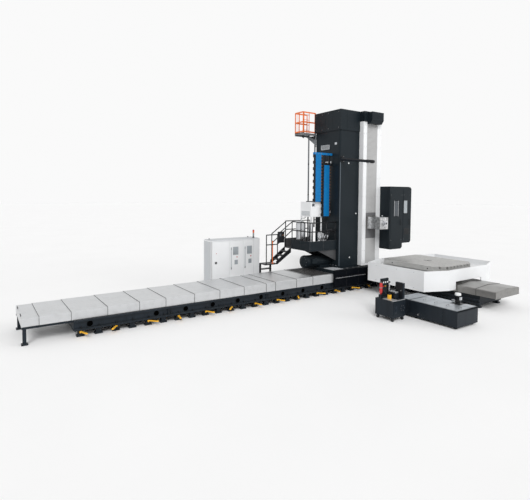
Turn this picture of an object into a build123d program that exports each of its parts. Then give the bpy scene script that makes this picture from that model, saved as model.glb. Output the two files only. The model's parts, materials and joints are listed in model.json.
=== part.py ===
from build123d import *
import os

# Floor type horizontal boring mill, all lengths in millimetres.
# The origin is on the floor under the turning axis of the work table.
# +X runs along the long bed, +Y from the table towards the column, +Z up.

# Long bed
BED_Y = 2459            # middle of the long bed, behind the table axis
BED_LEFT = -11994       # left end of the castings
BED_SECTIONS = (2510, 3340, 3340, 3340)
BED_HALF = 800          # half width of the castings
BED_FLANGE = 50         # how far the foot and top flanges stand out
FLANGE_THICK = 45
PAD_HEIGHT = 168        # underside of the castings
DECK = 430              # top of the castings, where the covers run
GUIDE_HALF = 640        # outer face of the guideways
GUIDE_WIDTH = 190
GUIDE_TOP = 560
JOINT_GROOVE = 10
CORE_HOLE = 150
PAD_PITCH = 436
PAD_LONG = 190
PAD_WIDE = 150
PAD_FOOT = 40
LEVER_REACH = 130
RUN_GAP = 0.3           # running clearance of sliding pieces

# Travelling column
SPINDLE_X = -1244       # spindle axis, along the bed
SADDLE_LEFT = -3278
SADDLE_LENGTH = 3100
SADDLE_TOP = 864
SADDLE_HALF = 862
KEEPER_GAP = 8
KEEPER = 22
APRON_OUT = 930
APRON_THICK = 25
APRON_BOTTOM = 250
COLUMN_LEFT = -2716
COLUMN_RIGHT = -729
COLUMN_FRONT = BED_Y - 551
COLUMN_BACK = BED_Y + 835
COLUMN_TOP = 6751
FRAME_FRONT = BED_Y - 761
FRAME_LEFT = -1719
FRAME_BOTTOM = 900
FRAME_TOP = COLUMN_TOP - 174
SLOT_HALF = 286
SLOT_BOTTOM = 969
SLOT_TOP = FRAME_TOP - 48
SLOT_BACK = BED_Y + 700
RAIL_IN = 36            # how far the slot rails stand in
RAIL_WIDE = 60
RAIL_PLACES = (BED_Y - 300, BED_Y + 200)
FACE_COVER_IN = 16
FACE_COVER_THICK = 15
HOOD_BOTTOM = COLUMN_TOP - 728
HOOD_SHEET = 30
NOSE_HOOD_OUT = 251
NOSE_HOOD_BOTTOM = COLUMN_TOP - 429

# Head, ram and spindle
SPINDLE_Z = 2550
PLATE_LOW = 1936
PLATE_HIGH = 2930
PLATE_THICK = 50
PLATE_IN = 11
HEAD_HALF = 270
HEAD_BACK = BED_Y + 300
PLATE_HALF = 280
RAM_SIDE = 445
RAM_OUT = 660           # how far the ram stands out of the frame
RAM_LENGTH = 1500
NOSE_LENGTH = 68
NOSE_R = 110
TIP_LENGTH = 32
TIP_R = 64.285
TAPER_R = 34.925
SPINDLE_R = 60
SPINDLE_LENGTH = 200
SPINDLE_FIT = 0.05
NOSE_PCD = 101.6
NOSE_HOLE_R = 5.1
NOSE_HOLE_DEEP = 25

# Covers of the long bed
SHEET = 3
SHEET_GAP = 5.5
GROWTH = SHEET + SHEET_GAP
COVER_HALF = 862        # outer half width of the largest segment
COVER_TOP = 743
COVER_FOOT = 441
COVER_FOLD = 22
LEFT_EDGES = (-13126, -12750, -12037, -11162, -10327, -9585, -8714,
              -7886, -7029, -6194, -5834, -4952, -4236)
LEFT_SEGMENT = 1010
RIGHT_SEGMENT = 2160
RIGHT_COUNT = 5
RIGHT_PITCH = 112
BULKHEAD = 12
GUIDE_CLEAR = 30
BEAM_IN = 690           # end frame beams, from the bed's middle line
BEAM_OUT = 750
BEAM_DEEP = 50
LEG_WIDE = 80

# Work table
TABLE_TOP = 1180
TABLE_THICK = 174
TABLE_X = 1089
TABLE_Y = 1268
TABLE_CHAMFER_X = 400
TABLE_CHAMFER_Y = 300
TABLE_CORNER = 150
TABLE_BORE_R = 60
TABLE_BORE_DEEP = 60
SLOT_WIDTH = 36
SLOT_DEPTH = 38
SLOT_PITCH = 200
SLOT_COUNT = 10
SLOT_HEAD = 60         # wide foot of each T slot
SLOT_HEAD_DEEP = 26
BEARING_R = 700
SKIRT_X = 2030
SKIRT_NEAR = -1624
SKIRT_FAR = 1420
SKIRT_CHAMFER_X = 900
SKIRT_CHAMFER_Y = 337
SKIRT_TOP = 1147
SKIRT_BOTTOM = 480
SKIRT_SHEET = 30
TRAY = 980
TRAY_THICK = 20
CUT_HALF = 775
CUT_TOP = 745
FAR_DIP = 900           # low stretch of the far rim, for the turning corners
TABLE_BED_HALF = 640
TABLE_BED_NEAR = -2380
TABLE_BED_FAR = 1470
TABLE_BED_FOOT = 110
TABLE_BED_FLANGE = 270
TABLE_BED_DECK = 400
TABLE_FLANGE_OUT = 50
TABLE_GUIDE_HALF = 560
TABLE_GUIDE_WIDTH = 160
TABLE_GUIDE_TOP = 500
TABLE_SADDLE_NEAR = -900
TABLE_SADDLE_FAR = 690
TABLE_SADDLE_HALF = 700
TABLE_COVER_HALF = 750
TABLE_COVER_SIDE = 650
TABLE_COVER_RIDGE = 700
TABLE_COVER_FOOT = 415
NEAR_SEGMENT = 750
NEAR_END = -2925
FAR_SEGMENT = 690
TABLE_BED_PADS = 8

# Platform on the column
PLATFORM_LEFT = -4030
PLATFORM_NEAR = BED_Y - 425
PLATFORM_FAR = BED_Y + 1100
PLATFORM_DECK = 1592
DECK_THICK = 40
PLATFORM_SKIRT = PLATFORM_DECK + 322
SKIRT_PLATE = 12
STAIR_NEAR = BED_Y + 672  # the left skirt ends here and the stair begins
BRACKET_DEEP = 420
BRACKET_LONG = 900
RAIL_TOP = PLATFORM_DECK + 1010
RAIL_MIDDLE = PLATFORM_DECK + 683
RAIL_BAR = 34
RAIL_POSTS = (-3227, -2789)
LANDING_TOP = 1040
LANDING_LEFT = -5200
LANDING_RIGHT = -4700
LANDING_RAIL = 2140
RAIL_BOX = (-4696, 1818, -4433, 2226)
STAIR_CLEAR = 60        # foot of the steps above the floor
STEPS_DEEP = 150
STRINGER = 40
TREAD = 30
TREAD_DEEP = 180
DRUM_LOW = 870          # foot of the drive drum, just above the saddle
DRUM_CLEAR = 212        # from the drum up to the deck
DRUM_R = (PLATFORM_DECK - DECK_THICK - DRUM_CLEAR - DRUM_LOW) / 2
DRUM_LEFT = -3884
DRUM_Z = DRUM_LOW + DRUM_R
DRUM_Y = BED_Y + 100
DRUM_FOOT_HALF = 180
COOLER_LOW = (-3638, BED_Y, PLATFORM_DECK + 1185)
COOLER_HIGH = (-3094, BED_Y + 600, PLATFORM_DECK + 1743)
COOLER_LEG = 40
TANK_R = 180
TANK_AT = (-3790, BED_Y + 400)
SMALL_TANK_R = 85
SMALL_TANK_AT = (-3420, BED_Y + 250)
TANK_TOP = PLATFORM_DECK + 1028
SMALL_TANK_TOP = PLATFORM_DECK + 968
PUMP_LOW = (-3500, BED_Y - 330)
PUMP_HIGH = (-2950, BED_Y - 80)
PUMP_FRAME = PLATFORM_DECK + 258
PUMP_R = 60
PUMP_XS = (-3400, -3220, -3060)
PUMP_TOP = PUMP_FRAME + 400
CHAIN_THICK = 90
CHAIN_WIDE = 390
CHAIN_RIGHT = -2798
CHAIN_LOW = (3345, 2800)
CHAIN_HIGH = (COLUMN_TOP - 1661, COLUMN_TOP - 2031)
CHAIN_GAP = 25
CHAIN_BRACKET = 80

# Ladder behind the column, up to a small landing with a guard cage
LADDER_LEFT = -2650
LADDER_RIGHT = -2250
LADDER_Y = BED_Y + 965
LADDER_BOTTOM = 2300
LADDER_TOP = COLUMN_TOP + 99
RUNG_PITCH = 280
RUNG = 24
STILE = 40
GALLERY_TOP = LADDER_TOP - 840
GALLERY_PLATE = 30
GALLERY_LEFT = -3331
GALLERY_RIGHT = -2651
GALLERY_FAR = BED_Y + 1400
GALLERY_BEAM = 50
GALLERY_BRACE = 380
CAGE_NEAR = BED_Y + 900
CAGE_BAND = 50
CAGE_HOOPS = (GALLERY_TOP + 40, GALLERY_TOP + 410, LADDER_TOP - CAGE_BAND)
CAGE_STRIP = 12
POLE_X = -2970
BOOM_R = 60
BOOM_X = -2650
BOOM_Z = COLUMN_TOP - 1811
BOOM_LENGTH = 1560
BOOM_DROP = 7           # degrees below level
BOOM_PLATE = 60

# Tool magazine beside the front frame
MAGAZINE_NEAR = BED_Y - 1242
MAGAZINE_BACK = BED_Y - 100
MAGAZINE_MIDDLE = 50
MAGAZINE_RIGHT = 574
MAGAZINE_LOW = 1500
MAGAZINE_STEP = 1717
MAGAZINE_HIGH = 3935
MAGAZINE_CHAMFER = 70

# Units that stand beside the machine
COOLANT_LOW = (-3382, -3285, 60)
COOLANT_HIGH = (-2375, -1300, 504)
COOLANT_FOOT = 80
COOLANT_PUMP = (-2587, -2803)
COOLANT_PUMP_R = 95
COOLANT_PUMP_HIGH = 330
HYDRAULIC_LOW = (-4240, -1860, 110)
HYDRAULIC_HIGH = (-3700, -1210, 590)
CASTOR = 60
PANEL_LEFT = -4071
PANEL_RIGHT = -3742
PANEL_TOP = 1130
PANEL_THICK = 25
VALVE_LOW = (-3960, -1700)
VALVE_HIGH = (-3800, -1450, 760)
VESSEL_AT = (-4190, -1370)
VESSEL_R = 45
VESSEL_BLOCK = 110      # height of the block under the vessel
VESSEL_HIGH = 380
CABINET_LEFT = -6798
CABINET_LONG = 2120
CABINET_RIGHT = CABINET_LEFT + CABINET_LONG
DOOR_SPLITS = (CABINET_LEFT + 774, CABINET_LEFT + 1384, CABINET_LEFT + 1841)
CABINET_FRONT = 4359
CABINET_DEEP = 600
CABINET_TOP = 1876
CABINET_PLINTH = 100
CABINET_WALL = 25
DOOR_THICK = 25
DOOR_GAP = 10
DOOR_SEAL = 8           # room behind, above and below each door
DOOR_ROUND = 10
PIN_R = 6
PIN_IN = 12.5
PIN_LENGTH = 40
LAMP_R = 30
LAMP_X = CABINET_RIGHT - 205
LAMP_IN = 100
LAMP_HIGH = 339

os.makedirs("parts", exist_ok=True)


def bar(low, high, mode=Mode.ADD):
    """A straight block between two corners, added to the piece being made."""
    size = [b - a for a, b in zip(low, high)]
    middle = [(a + b) / 2 for a, b in zip(low, high)]
    with Locations(tuple(middle)):
        Box(*size, mode=mode)


def save(piece, name):
    """Name a finished piece and write it to its own file."""
    piece.label = name
    export_step(piece, f"parts/{name}.step")


def tunnel(half, side, ridge, fold, foot):
    """Corners of an upside down trough about the middle line, with folded shoulders."""
    return [(-half, foot), (-half, side - fold), (-half + fold, side), (0, ridge),
            (half - fold, side), (half, side - fold), (half, foot)]


BED_LENGTH = sum(BED_SECTIONS)
BED_RIGHT = BED_LEFT + BED_LENGTH
SADDLE_RIGHT = SADDLE_LEFT + SADDLE_LENGTH
RIGHT_END = SADDLE_RIGHT + RIGHT_SEGMENT + (RIGHT_COUNT - 1) * RIGHT_PITCH
PADS = int((BED_LENGTH - PAD_LONG) // PAD_PITCH) + 1
PAD_FIRST = BED_LEFT + (BED_LENGTH - (PADS - 1) * PAD_PITCH) / 2

# Bed castings, bolted end to end
with BuildPart() as bed:
    with BuildSketch(Plane.YZ.offset(BED_LEFT)):
        with Locations((BED_Y, (PAD_HEIGHT + DECK) / 2)):
            Rectangle(2 * BED_HALF, DECK - PAD_HEIGHT)
        with Locations((BED_Y, PAD_HEIGHT + FLANGE_THICK / 2), (BED_Y, DECK - FLANGE_THICK / 2)):
            Rectangle(2 * (BED_HALF + BED_FLANGE), FLANGE_THICK)
        with Locations((BED_Y - GUIDE_HALF + GUIDE_WIDTH / 2, (DECK + GUIDE_TOP) / 2),
                       (BED_Y + GUIDE_HALF - GUIDE_WIDTH / 2, (DECK + GUIDE_TOP) / 2)):
            Rectangle(GUIDE_WIDTH, GUIDE_TOP - DECK)
    extrude(amount=BED_LENGTH)
    joint_x = BED_LEFT
    for length in BED_SECTIONS[:-1]:
        joint_x = joint_x + length
        for side in (-1, 1):
            edge = BED_Y + side * (BED_HALF - JOINT_GROOVE / 2)
            bar((joint_x - 4, edge - JOINT_GROOVE / 2, PAD_HEIGHT + FLANGE_THICK),
                (joint_x + 4, edge + JOINT_GROOVE / 2, DECK - FLANGE_THICK), mode=Mode.SUBTRACT)
    for side in (-1, 1):
        wall = Plane((0, BED_Y + side * BED_HALF, (PAD_HEIGHT + DECK) / 2), x_dir=(1, 0, 0),
                     z_dir=(0, side, 0))
        with BuildSketch(wall):
            with Locations(*[(PAD_FIRST + PAD_PITCH * (0.5 + 2 * k), 0) for k in range(PADS // 2)]):
                RegularPolygon(CORE_HOLE / 2, 16)
        extrude(amount=-JOINT_GROOVE, mode=Mode.SUBTRACT)
save(bed.part, "bed")

# Levelling wedges under both beds, every second one with a lever on the open side
TABLE_PAD_PITCH = (TABLE_BED_FAR - TABLE_BED_NEAR - PAD_LONG) / (TABLE_BED_PADS - 1)
TABLE_PAD_FIRST = TABLE_BED_NEAR + PAD_LONG / 2
LONG_PADS = [(PAD_FIRST + k * PAD_PITCH, BED_Y + side * (BED_HALF - PAD_WIDE / 2))
             for k in range(PADS) for side in (-1, 1)]
LEVERS = [(x, y - PAD_WIDE / 3 - LEVER_REACH / 2) for x, y in LONG_PADS[::4]]
CENTRE_PADS = [(0, y) for y in (-1800, -900, 0, 900)]
TABLE_PADS = [(side * (TABLE_BED_HALF - PAD_WIDE / 2), TABLE_PAD_FIRST + k * TABLE_PAD_PITCH)
              for k in range(TABLE_BED_PADS) for side in (-1, 1)] + CENTRE_PADS
with BuildPart() as levelling_wedges:
    with BuildSketch():
        with Locations(*LONG_PADS):
            Rectangle(PAD_LONG, PAD_WIDE)
        with Locations(*TABLE_PADS):
            Rectangle(PAD_WIDE, PAD_LONG)
    extrude(amount=PAD_FOOT)
    with BuildSketch(Plane.XY.offset(PAD_FOOT)):
        with Locations(*LONG_PADS):
            Rectangle(PAD_LONG * 2 / 3, PAD_WIDE * 2 / 3)
    extrude(amount=PAD_HEIGHT - PAD_FOOT)
    with BuildSketch(Plane.XY.offset(PAD_FOOT)):
        with Locations(*TABLE_PADS):
            Rectangle(PAD_WIDE * 2 / 3, PAD_LONG * 2 / 3)
    extrude(amount=TABLE_BED_FOOT - PAD_FOOT)
    with BuildSketch(Plane.XY.offset(PAD_HEIGHT - 70)):
        with Locations(*LEVERS):
            Rectangle(24, LEVER_REACH)
    extrude(amount=20)
save(levelling_wedges.part, "levelling_wedges")

# Frames that carry the outer ends of the covers past the castings
with BuildPart() as cover_end_frames:
    for inner, outer, way in ((BED_LEFT, LEFT_EDGES[0], 1), (BED_RIGHT, RIGHT_END, -1)):
        ends = sorted((inner, outer))
        leg = sorted((outer + way * LEG_WIDE / 4, outer + way * LEG_WIDE * 5 / 4))
        for side in (-1, 1):
            near, far = sorted((BED_Y + side * BEAM_IN, BED_Y + side * BEAM_OUT))
            bar((ends[0], near, DECK - BEAM_DEEP), (ends[1], far, DECK))
            bar((leg[0], near, PAD_FOOT), (leg[1], far, DECK - BEAM_DEEP))
            bar((leg[0] - 30, near - 30, 0), (leg[1] + 30, far + 30, PAD_FOOT))
        bar((leg[0], BED_Y - BEAM_IN, DECK - BEAM_DEEP), (leg[1], BED_Y + BEAM_IN, DECK))
save(cover_end_frames.part, "cover_end_frames")


def long_cover(left, right, size, inner_end, closed_end=None, outer_end=0):
    """One sliding segment; size counts down from 0 at the largest."""
    half = COVER_HALF - size * GROWTH
    top = COVER_TOP - size * GROWTH
    with BuildPart() as segment:
        plane = Plane((left, BED_Y, 0), x_dir=(0, 1, 0), z_dir=(1, 0, 0))
        with BuildSketch(plane):
            Polygon(*tunnel(half, top, top, COVER_FOLD, COVER_FOOT), align=None)
        extrude(amount=right - left)
        with BuildSketch(plane):
            Polygon(*tunnel(half - SHEET, top - SHEET, top - SHEET, COVER_FOLD - SHEET / 2, COVER_FOOT - 1),
                    align=None)
        extrude(amount=right - left, mode=Mode.SUBTRACT)
        if inner_end is not None:
            with BuildSketch(Plane((inner_end, BED_Y, 0), x_dir=(0, 1, 0), z_dir=(1, 0, 0))):
                foot = DECK + RUN_GAP
                Polygon(*tunnel(half - SHEET, top - SHEET, top - SHEET, COVER_FOLD - SHEET / 2, foot),
                        align=None)
                with Locations((0, (DECK + GUIDE_TOP + GUIDE_CLEAR) / 2)):
                    Rectangle(2 * (GUIDE_HALF + GUIDE_CLEAR), GUIDE_TOP + GUIDE_CLEAR - DECK,
                              mode=Mode.SUBTRACT)
            extrude(amount=BULKHEAD)
        if closed_end is not None:
            with BuildSketch(Plane((closed_end, BED_Y, 0), x_dir=(0, 1, 0), z_dir=(1, 0, 0))):
                Polygon(*tunnel(half - SHEET, top - SHEET, top - SHEET, COVER_FOLD - SHEET / 2, DECK),
                        align=None)
            extrude(amount=BULKHEAD / 2)
    return segment.part


# Telescopic covers, smallest at the outer ends and largest at the saddle
last = len(LEFT_EDGES) - 1
for k, left in enumerate(LEFT_EDGES):
    right = SADDLE_LEFT if k == last else left + LEFT_SEGMENT
    inner = None if k == last else right - BULKHEAD
    closed = left if k == 0 else None
    save(long_cover(left, right, last - k, inner, closed), f"bed_cover_left_{k + 1:02d}")
for k in range(RIGHT_COUNT):
    right = RIGHT_END - k * RIGHT_PITCH
    left = right - RIGHT_SEGMENT
    inner = None if k == RIGHT_COUNT - 1 else left
    closed = right - BULKHEAD / 2 if k == 0 else None
    save(long_cover(left, right, RIGHT_COUNT - 1 - k, inner, closed), f"bed_cover_right_{k + 1}")

# Saddle under the column, with keepers outside the guideways
SLIDE = GUIDE_TOP + RUN_GAP
with BuildPart() as saddle:
    with BuildSketch(Plane((SADDLE_LEFT, BED_Y, 0), x_dir=(0, 1, 0), z_dir=(1, 0, 0))):
        with Locations((0, (SLIDE + SADDLE_TOP) / 2)):
            Rectangle(2 * SADDLE_HALF, SADDLE_TOP - SLIDE)
        with Locations((0, SLIDE + 40)):
            Rectangle(2 * (GUIDE_HALF - GUIDE_WIDTH) - 40, 80, mode=Mode.SUBTRACT)
        keeper = GUIDE_HALF + KEEPER_GAP + KEEPER / 2
        with Locations((-keeper, SLIDE - 50), (keeper, SLIDE - 50)):
            Rectangle(KEEPER, 100)
    extrude(amount=SADDLE_LENGTH)
save(saddle.part, "saddle")

with BuildPart() as saddle_apron:
    face = BED_Y - APRON_OUT
    bar((SADDLE_LEFT - 26, face, APRON_BOTTOM), (SADDLE_RIGHT, face + APRON_THICK, SADDLE_TOP))
    bar((SADDLE_LEFT, face + APRON_THICK, SADDLE_TOP - APRON_THICK),
        (SADDLE_RIGHT, BED_Y - SADDLE_HALF, SADDLE_TOP))
save(saddle_apron.part, "saddle_apron")

# Column with the slot for the head
with BuildPart() as column:
    bar((COLUMN_LEFT, COLUMN_FRONT, SADDLE_TOP), (COLUMN_RIGHT, COLUMN_BACK, COLUMN_TOP))
    chamfer(column.edges().filter_by(Axis.Z).sort_by(Axis.X)[:2], 40)
    bar((SPINDLE_X - SLOT_HALF, COLUMN_FRONT, SLOT_BOTTOM), (SPINDLE_X + SLOT_HALF, SLOT_BACK, SLOT_TOP),
        mode=Mode.SUBTRACT)
    for y in RAIL_PLACES:
        for side in (-1, 1):
            wall = SPINDLE_X + side * SLOT_HALF
            inner = wall - side * RAIL_IN
            bar((min(wall, inner), y, SLOT_BOTTOM), (max(wall, inner), y + RAIL_WIDE, SLOT_TOP))
save(column.part, "column")

with BuildPart() as column_hood:
    bar((COLUMN_LEFT - HOOD_SHEET, COLUMN_FRONT - HOOD_SHEET, HOOD_BOTTOM),
        (COLUMN_RIGHT + HOOD_SHEET, COLUMN_BACK + HOOD_SHEET, COLUMN_TOP + HOOD_SHEET))
    bar((COLUMN_LEFT, COLUMN_FRONT, HOOD_BOTTOM), (COLUMN_RIGHT, COLUMN_BACK, COLUMN_TOP),
        mode=Mode.SUBTRACT)
    bar((FRAME_LEFT, COLUMN_FRONT - HOOD_SHEET, HOOD_BOTTOM),
        (COLUMN_RIGHT + HOOD_SHEET, COLUMN_FRONT, COLUMN_TOP + HOOD_SHEET), mode=Mode.SUBTRACT)
    bar((FRAME_LEFT, FRAME_FRONT - HOOD_SHEET, FRAME_TOP),
        (COLUMN_RIGHT + HOOD_SHEET, COLUMN_FRONT + HOOD_SHEET, COLUMN_TOP + HOOD_SHEET))
    bar((FRAME_LEFT, COLUMN_FRONT, FRAME_TOP), (COLUMN_RIGHT, COLUMN_FRONT + HOOD_SHEET, COLUMN_TOP),
        mode=Mode.SUBTRACT)
    with BuildSketch(Plane((SPINDLE_X - SLOT_HALF, FRAME_FRONT, 0), x_dir=(0, 1, 0), z_dir=(1, 0, 0))):
        with BuildLine():
            Polyline((0, NOSE_HOOD_BOTTOM), (0, COLUMN_TOP), (-NOSE_HOOD_OUT, COLUMN_TOP),
                     (-NOSE_HOOD_OUT, NOSE_HOOD_BOTTOM + 130), (-NOSE_HOOD_OUT + 90, NOSE_HOOD_BOTTOM),
                     close=True)
        make_face()
    extrude(amount=2 * SLOT_HALF + 60)
save(column_hood.part, "column_hood")

with BuildPart() as front_frame:
    bar((FRAME_LEFT, FRAME_FRONT, FRAME_BOTTOM), (COLUMN_RIGHT, COLUMN_FRONT, FRAME_TOP))
    bar((SPINDLE_X - SLOT_HALF, FRAME_FRONT, SLOT_BOTTOM), (SPINDLE_X + SLOT_HALF, COLUMN_FRONT, SLOT_TOP),
        mode=Mode.SUBTRACT)
save(front_frame.part, "front_frame")

FACE = FRAME_FRONT + FACE_COVER_IN
with BuildPart() as upper_face_cover:
    bar((SPINDLE_X - PLATE_HALF, FACE, PLATE_HIGH),
        (SPINDLE_X + PLATE_HALF, FACE + FACE_COVER_THICK, SLOT_TOP))
save(upper_face_cover.part, "upper_face_cover")
with BuildPart() as lower_face_cover:
    bar((SPINDLE_X - PLATE_HALF, FACE, SLOT_BOTTOM),
        (SPINDLE_X + PLATE_HALF, FACE + FACE_COVER_THICK, PLATE_LOW))
save(lower_face_cover.part, "lower_face_cover")

# Head that climbs in the slot, with the square bore for the ram
PLATE_FRONT = FRAME_FRONT + PLATE_IN
with BuildPart() as headstock:
    bar((SPINDLE_X - PLATE_HALF, PLATE_FRONT, PLATE_LOW),
        (SPINDLE_X + PLATE_HALF, PLATE_FRONT + PLATE_THICK, PLATE_HIGH))
    bar((SPINDLE_X - HEAD_HALF, PLATE_FRONT + PLATE_THICK, PLATE_LOW),
        (SPINDLE_X + HEAD_HALF, HEAD_BACK, PLATE_HIGH))
    reach = RAM_SIDE / 2 + RUN_GAP
    bar((SPINDLE_X - reach, PLATE_FRONT, SPINDLE_Z - reach),
        (SPINDLE_X + reach, HEAD_BACK, SPINDLE_Z + reach), mode=Mode.SUBTRACT)
    for y in RAIL_PLACES:
        for side in (-1, 1):
            inner = SPINDLE_X + side * (SLOT_HALF - RAIL_IN - RUN_GAP)
            outer = SPINDLE_X + side * HEAD_HALF
            bar((min(inner, outer), y - RUN_GAP, PLATE_LOW),
                (max(inner, outer), y + RAIL_WIDE + RUN_GAP, PLATE_HIGH), mode=Mode.SUBTRACT)
save(headstock.part, "headstock")

RAM_FRONT = FRAME_FRONT - RAM_OUT
with BuildPart() as ram:
    half = RAM_SIDE / 2
    bar((SPINDLE_X - half, RAM_FRONT, SPINDLE_Z - half),
        (SPINDLE_X + half, RAM_FRONT + RAM_LENGTH, SPINDLE_Z + half))
    with BuildSketch(Plane((SPINDLE_X, RAM_FRONT, SPINDLE_Z), x_dir=(1, 0, 0), z_dir=(0, -1, 0))):
        Circle(SPINDLE_R)
    extrude(amount=-SPINDLE_LENGTH, mode=Mode.SUBTRACT)
save(ram.part, "ram")

with BuildPart() as spindle:
    face = Plane((SPINDLE_X, RAM_FRONT - RUN_GAP, SPINDLE_Z), x_dir=(1, 0, 0), z_dir=(0, -1, 0))
    with BuildSketch(face):
        Circle(NOSE_R)
    extrude(amount=NOSE_LENGTH)
    with BuildSketch(face):
        Circle(SPINDLE_R - SPINDLE_FIT)
    extrude(amount=-SPINDLE_LENGTH + 5)
    tip = face.offset(NOSE_LENGTH)
    with BuildSketch(tip):
        Circle(TIP_R)
    extrude(amount=TIP_LENGTH)
    end = tip.offset(TIP_LENGTH)
    with BuildSketch(end):
        with PolarLocations(NOSE_PCD / 2, 4, start_angle=45):
            Circle(NOSE_HOLE_R)
    extrude(amount=-NOSE_HOLE_DEEP, mode=Mode.SUBTRACT)
    with BuildSketch(end):
        Circle(TAPER_R)
    extrude(amount=-100, taper=8.3, mode=Mode.SUBTRACT)
save(spindle.part, "spindle")

# Service platform on the side of the column
with BuildPart() as service_platform:
    low = PLATFORM_DECK - DECK_THICK
    bar((PLATFORM_LEFT, PLATFORM_NEAR, low), (COLUMN_LEFT, PLATFORM_FAR, PLATFORM_DECK))
    bar((PLATFORM_LEFT, PLATFORM_NEAR, low), (COLUMN_LEFT, PLATFORM_NEAR + SKIRT_PLATE, PLATFORM_SKIRT))
    bar((PLATFORM_LEFT, PLATFORM_NEAR, low), (PLATFORM_LEFT + SKIRT_PLATE, STAIR_NEAR, PLATFORM_SKIRT))
    bar((PLATFORM_LEFT, PLATFORM_FAR - SKIRT_PLATE, low), (COLUMN_LEFT, PLATFORM_FAR, PLATFORM_SKIRT))
    for y in (PLATFORM_NEAR + BRACKET_DEEP / 6, COLUMN_BACK - BRACKET_DEEP / 6):
        with BuildSketch(Plane((0, y, 0), x_dir=(1, 0, 0), z_dir=(0, -1, 0))):
            Polygon((COLUMN_LEFT, low), (COLUMN_LEFT, low - BRACKET_DEEP),
                    (COLUMN_LEFT - BRACKET_LONG, low), align=None)
        extrude(amount=TREAD)
save(service_platform.part, "service_platform")

# Railing of the platform, the stair and its landing
RAIL_NEAR = PLATFORM_NEAR + SKIRT_PLATE
RAIL_LEFT = PLATFORM_LEFT + SKIRT_PLATE
RAIL_FAR = PLATFORM_FAR - SKIRT_PLATE - RAIL_BAR
with BuildPart() as platform_railing:
    near_posts = [(x, RAIL_NEAR) for x in (RAIL_LEFT, *RAIL_POSTS)]
    far_posts = [(x, RAIL_FAR) for x in (RAIL_LEFT, *RAIL_POSTS)]
    for x, y in near_posts + far_posts + [(RAIL_LEFT, STAIR_NEAR - RAIL_BAR)]:
        bar((x, y, PLATFORM_DECK), (x + RAIL_BAR, y + RAIL_BAR, RAIL_TOP))
    for z in (RAIL_TOP, RAIL_MIDDLE):
        for y in (RAIL_NEAR, RAIL_FAR):
            bar((RAIL_LEFT, y, z - RAIL_BAR), (COLUMN_LEFT, y + RAIL_BAR, z))
        bar((RAIL_LEFT, RAIL_NEAR, z - RAIL_BAR), (RAIL_LEFT + RAIL_BAR, STAIR_NEAR, z))
    stair_near = STAIR_NEAR - RAIL_BAR
    stair_far = PLATFORM_FAR - STRINGER - RAIL_BAR
    for y, foot in ((stair_near, LANDING_TOP - TREAD), (stair_far, LANDING_TOP)):
        bar((LANDING_RIGHT, y, foot), (LANDING_RIGHT + RAIL_BAR, y + RAIL_BAR, LANDING_RAIL))
        with BuildSketch(Plane((0, y + RAIL_BAR, 0), x_dir=(1, 0, 0), z_dir=(0, -1, 0))):
            Polygon((RAIL_LEFT, RAIL_TOP), (RAIL_LEFT, RAIL_TOP - RAIL_BAR),
                    (LANDING_RIGHT, LANDING_RAIL - RAIL_BAR), (LANDING_RIGHT, LANDING_RAIL), align=None)
        extrude(amount=RAIL_BAR)
    bar((RAIL_LEFT, stair_far, PLATFORM_DECK), (RAIL_LEFT + RAIL_BAR, stair_far + RAIL_BAR, RAIL_TOP))
    bar((LANDING_LEFT, stair_near, LANDING_TOP - TREAD), (LANDING_LEFT + RAIL_BAR, STAIR_NEAR, LANDING_RAIL))
    bar((LANDING_LEFT, stair_near, LANDING_RAIL - RAIL_BAR), (LANDING_RIGHT, STAIR_NEAR, LANDING_RAIL))
    bar((RAIL_BOX[0], stair_near - 2 * RAIL_BAR, RAIL_BOX[1]), (RAIL_BOX[2], stair_near, RAIL_BOX[3]))
save(platform_railing.part, "platform_railing")

# Stair down to the left: a flight, a landing over the covers, and steps behind the bed
with BuildPart() as platform_stair:
    under = LANDING_TOP - TREAD
    for y in (STAIR_NEAR, PLATFORM_FAR - STRINGER):
        with BuildSketch(Plane((0, y + STRINGER, 0), x_dir=(1, 0, 0), z_dir=(0, -1, 0))):
            Polygon((PLATFORM_LEFT, PLATFORM_DECK), (PLATFORM_LEFT, PLATFORM_DECK - TREAD_DEEP),
                    (LANDING_RIGHT + STRINGER, under), (LANDING_RIGHT, under),
                    (LANDING_RIGHT, LANDING_TOP + STRINGER * 2), align=None)
        extrude(amount=STRINGER)
    for part_way in (0.25, 0.5, 0.75):
        x = PLATFORM_LEFT + (LANDING_RIGHT - PLATFORM_LEFT) * part_way
        z = PLATFORM_DECK + (LANDING_TOP - PLATFORM_DECK) * part_way
        bar((x - TREAD_DEEP / 2, STAIR_NEAR + STRINGER, z - TREAD),
            (x + TREAD_DEEP / 2, PLATFORM_FAR - STRINGER, z))
    bar((LANDING_LEFT, STAIR_NEAR, under), (LANDING_RIGHT + STRINGER, PLATFORM_FAR, LANDING_TOP))
    for x in (LANDING_LEFT, LANDING_RIGHT - STRINGER):
        bar((x, PLATFORM_FAR - 2 * STRINGER, STAIR_CLEAR), (x + STRINGER, PLATFORM_FAR, under))
    for part_way in (0.2, 0.4, 0.6, 0.8):
        z = LANDING_TOP * part_way
        bar((LANDING_LEFT + STRINGER, PLATFORM_FAR - STEPS_DEEP, z - TREAD),
            (LANDING_RIGHT - STRINGER, PLATFORM_FAR, z))
save(platform_stair.part, "platform_stair")

with BuildPart() as column_drive:
    with BuildSketch(Plane((DRUM_LEFT, DRUM_Y, DRUM_Z), x_dir=(0, 1, 0), z_dir=(1, 0, 0))):
        Circle(DRUM_R)
    extrude(amount=COLUMN_LEFT - DRUM_LEFT)
    bar((SADDLE_LEFT + DECK_THICK, DRUM_Y - DRUM_FOOT_HALF, SADDLE_TOP),
        (COLUMN_LEFT, DRUM_Y + DRUM_FOOT_HALF, DRUM_Z - DRUM_R / 2))
save(column_drive.part, "column_drive")

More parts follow.
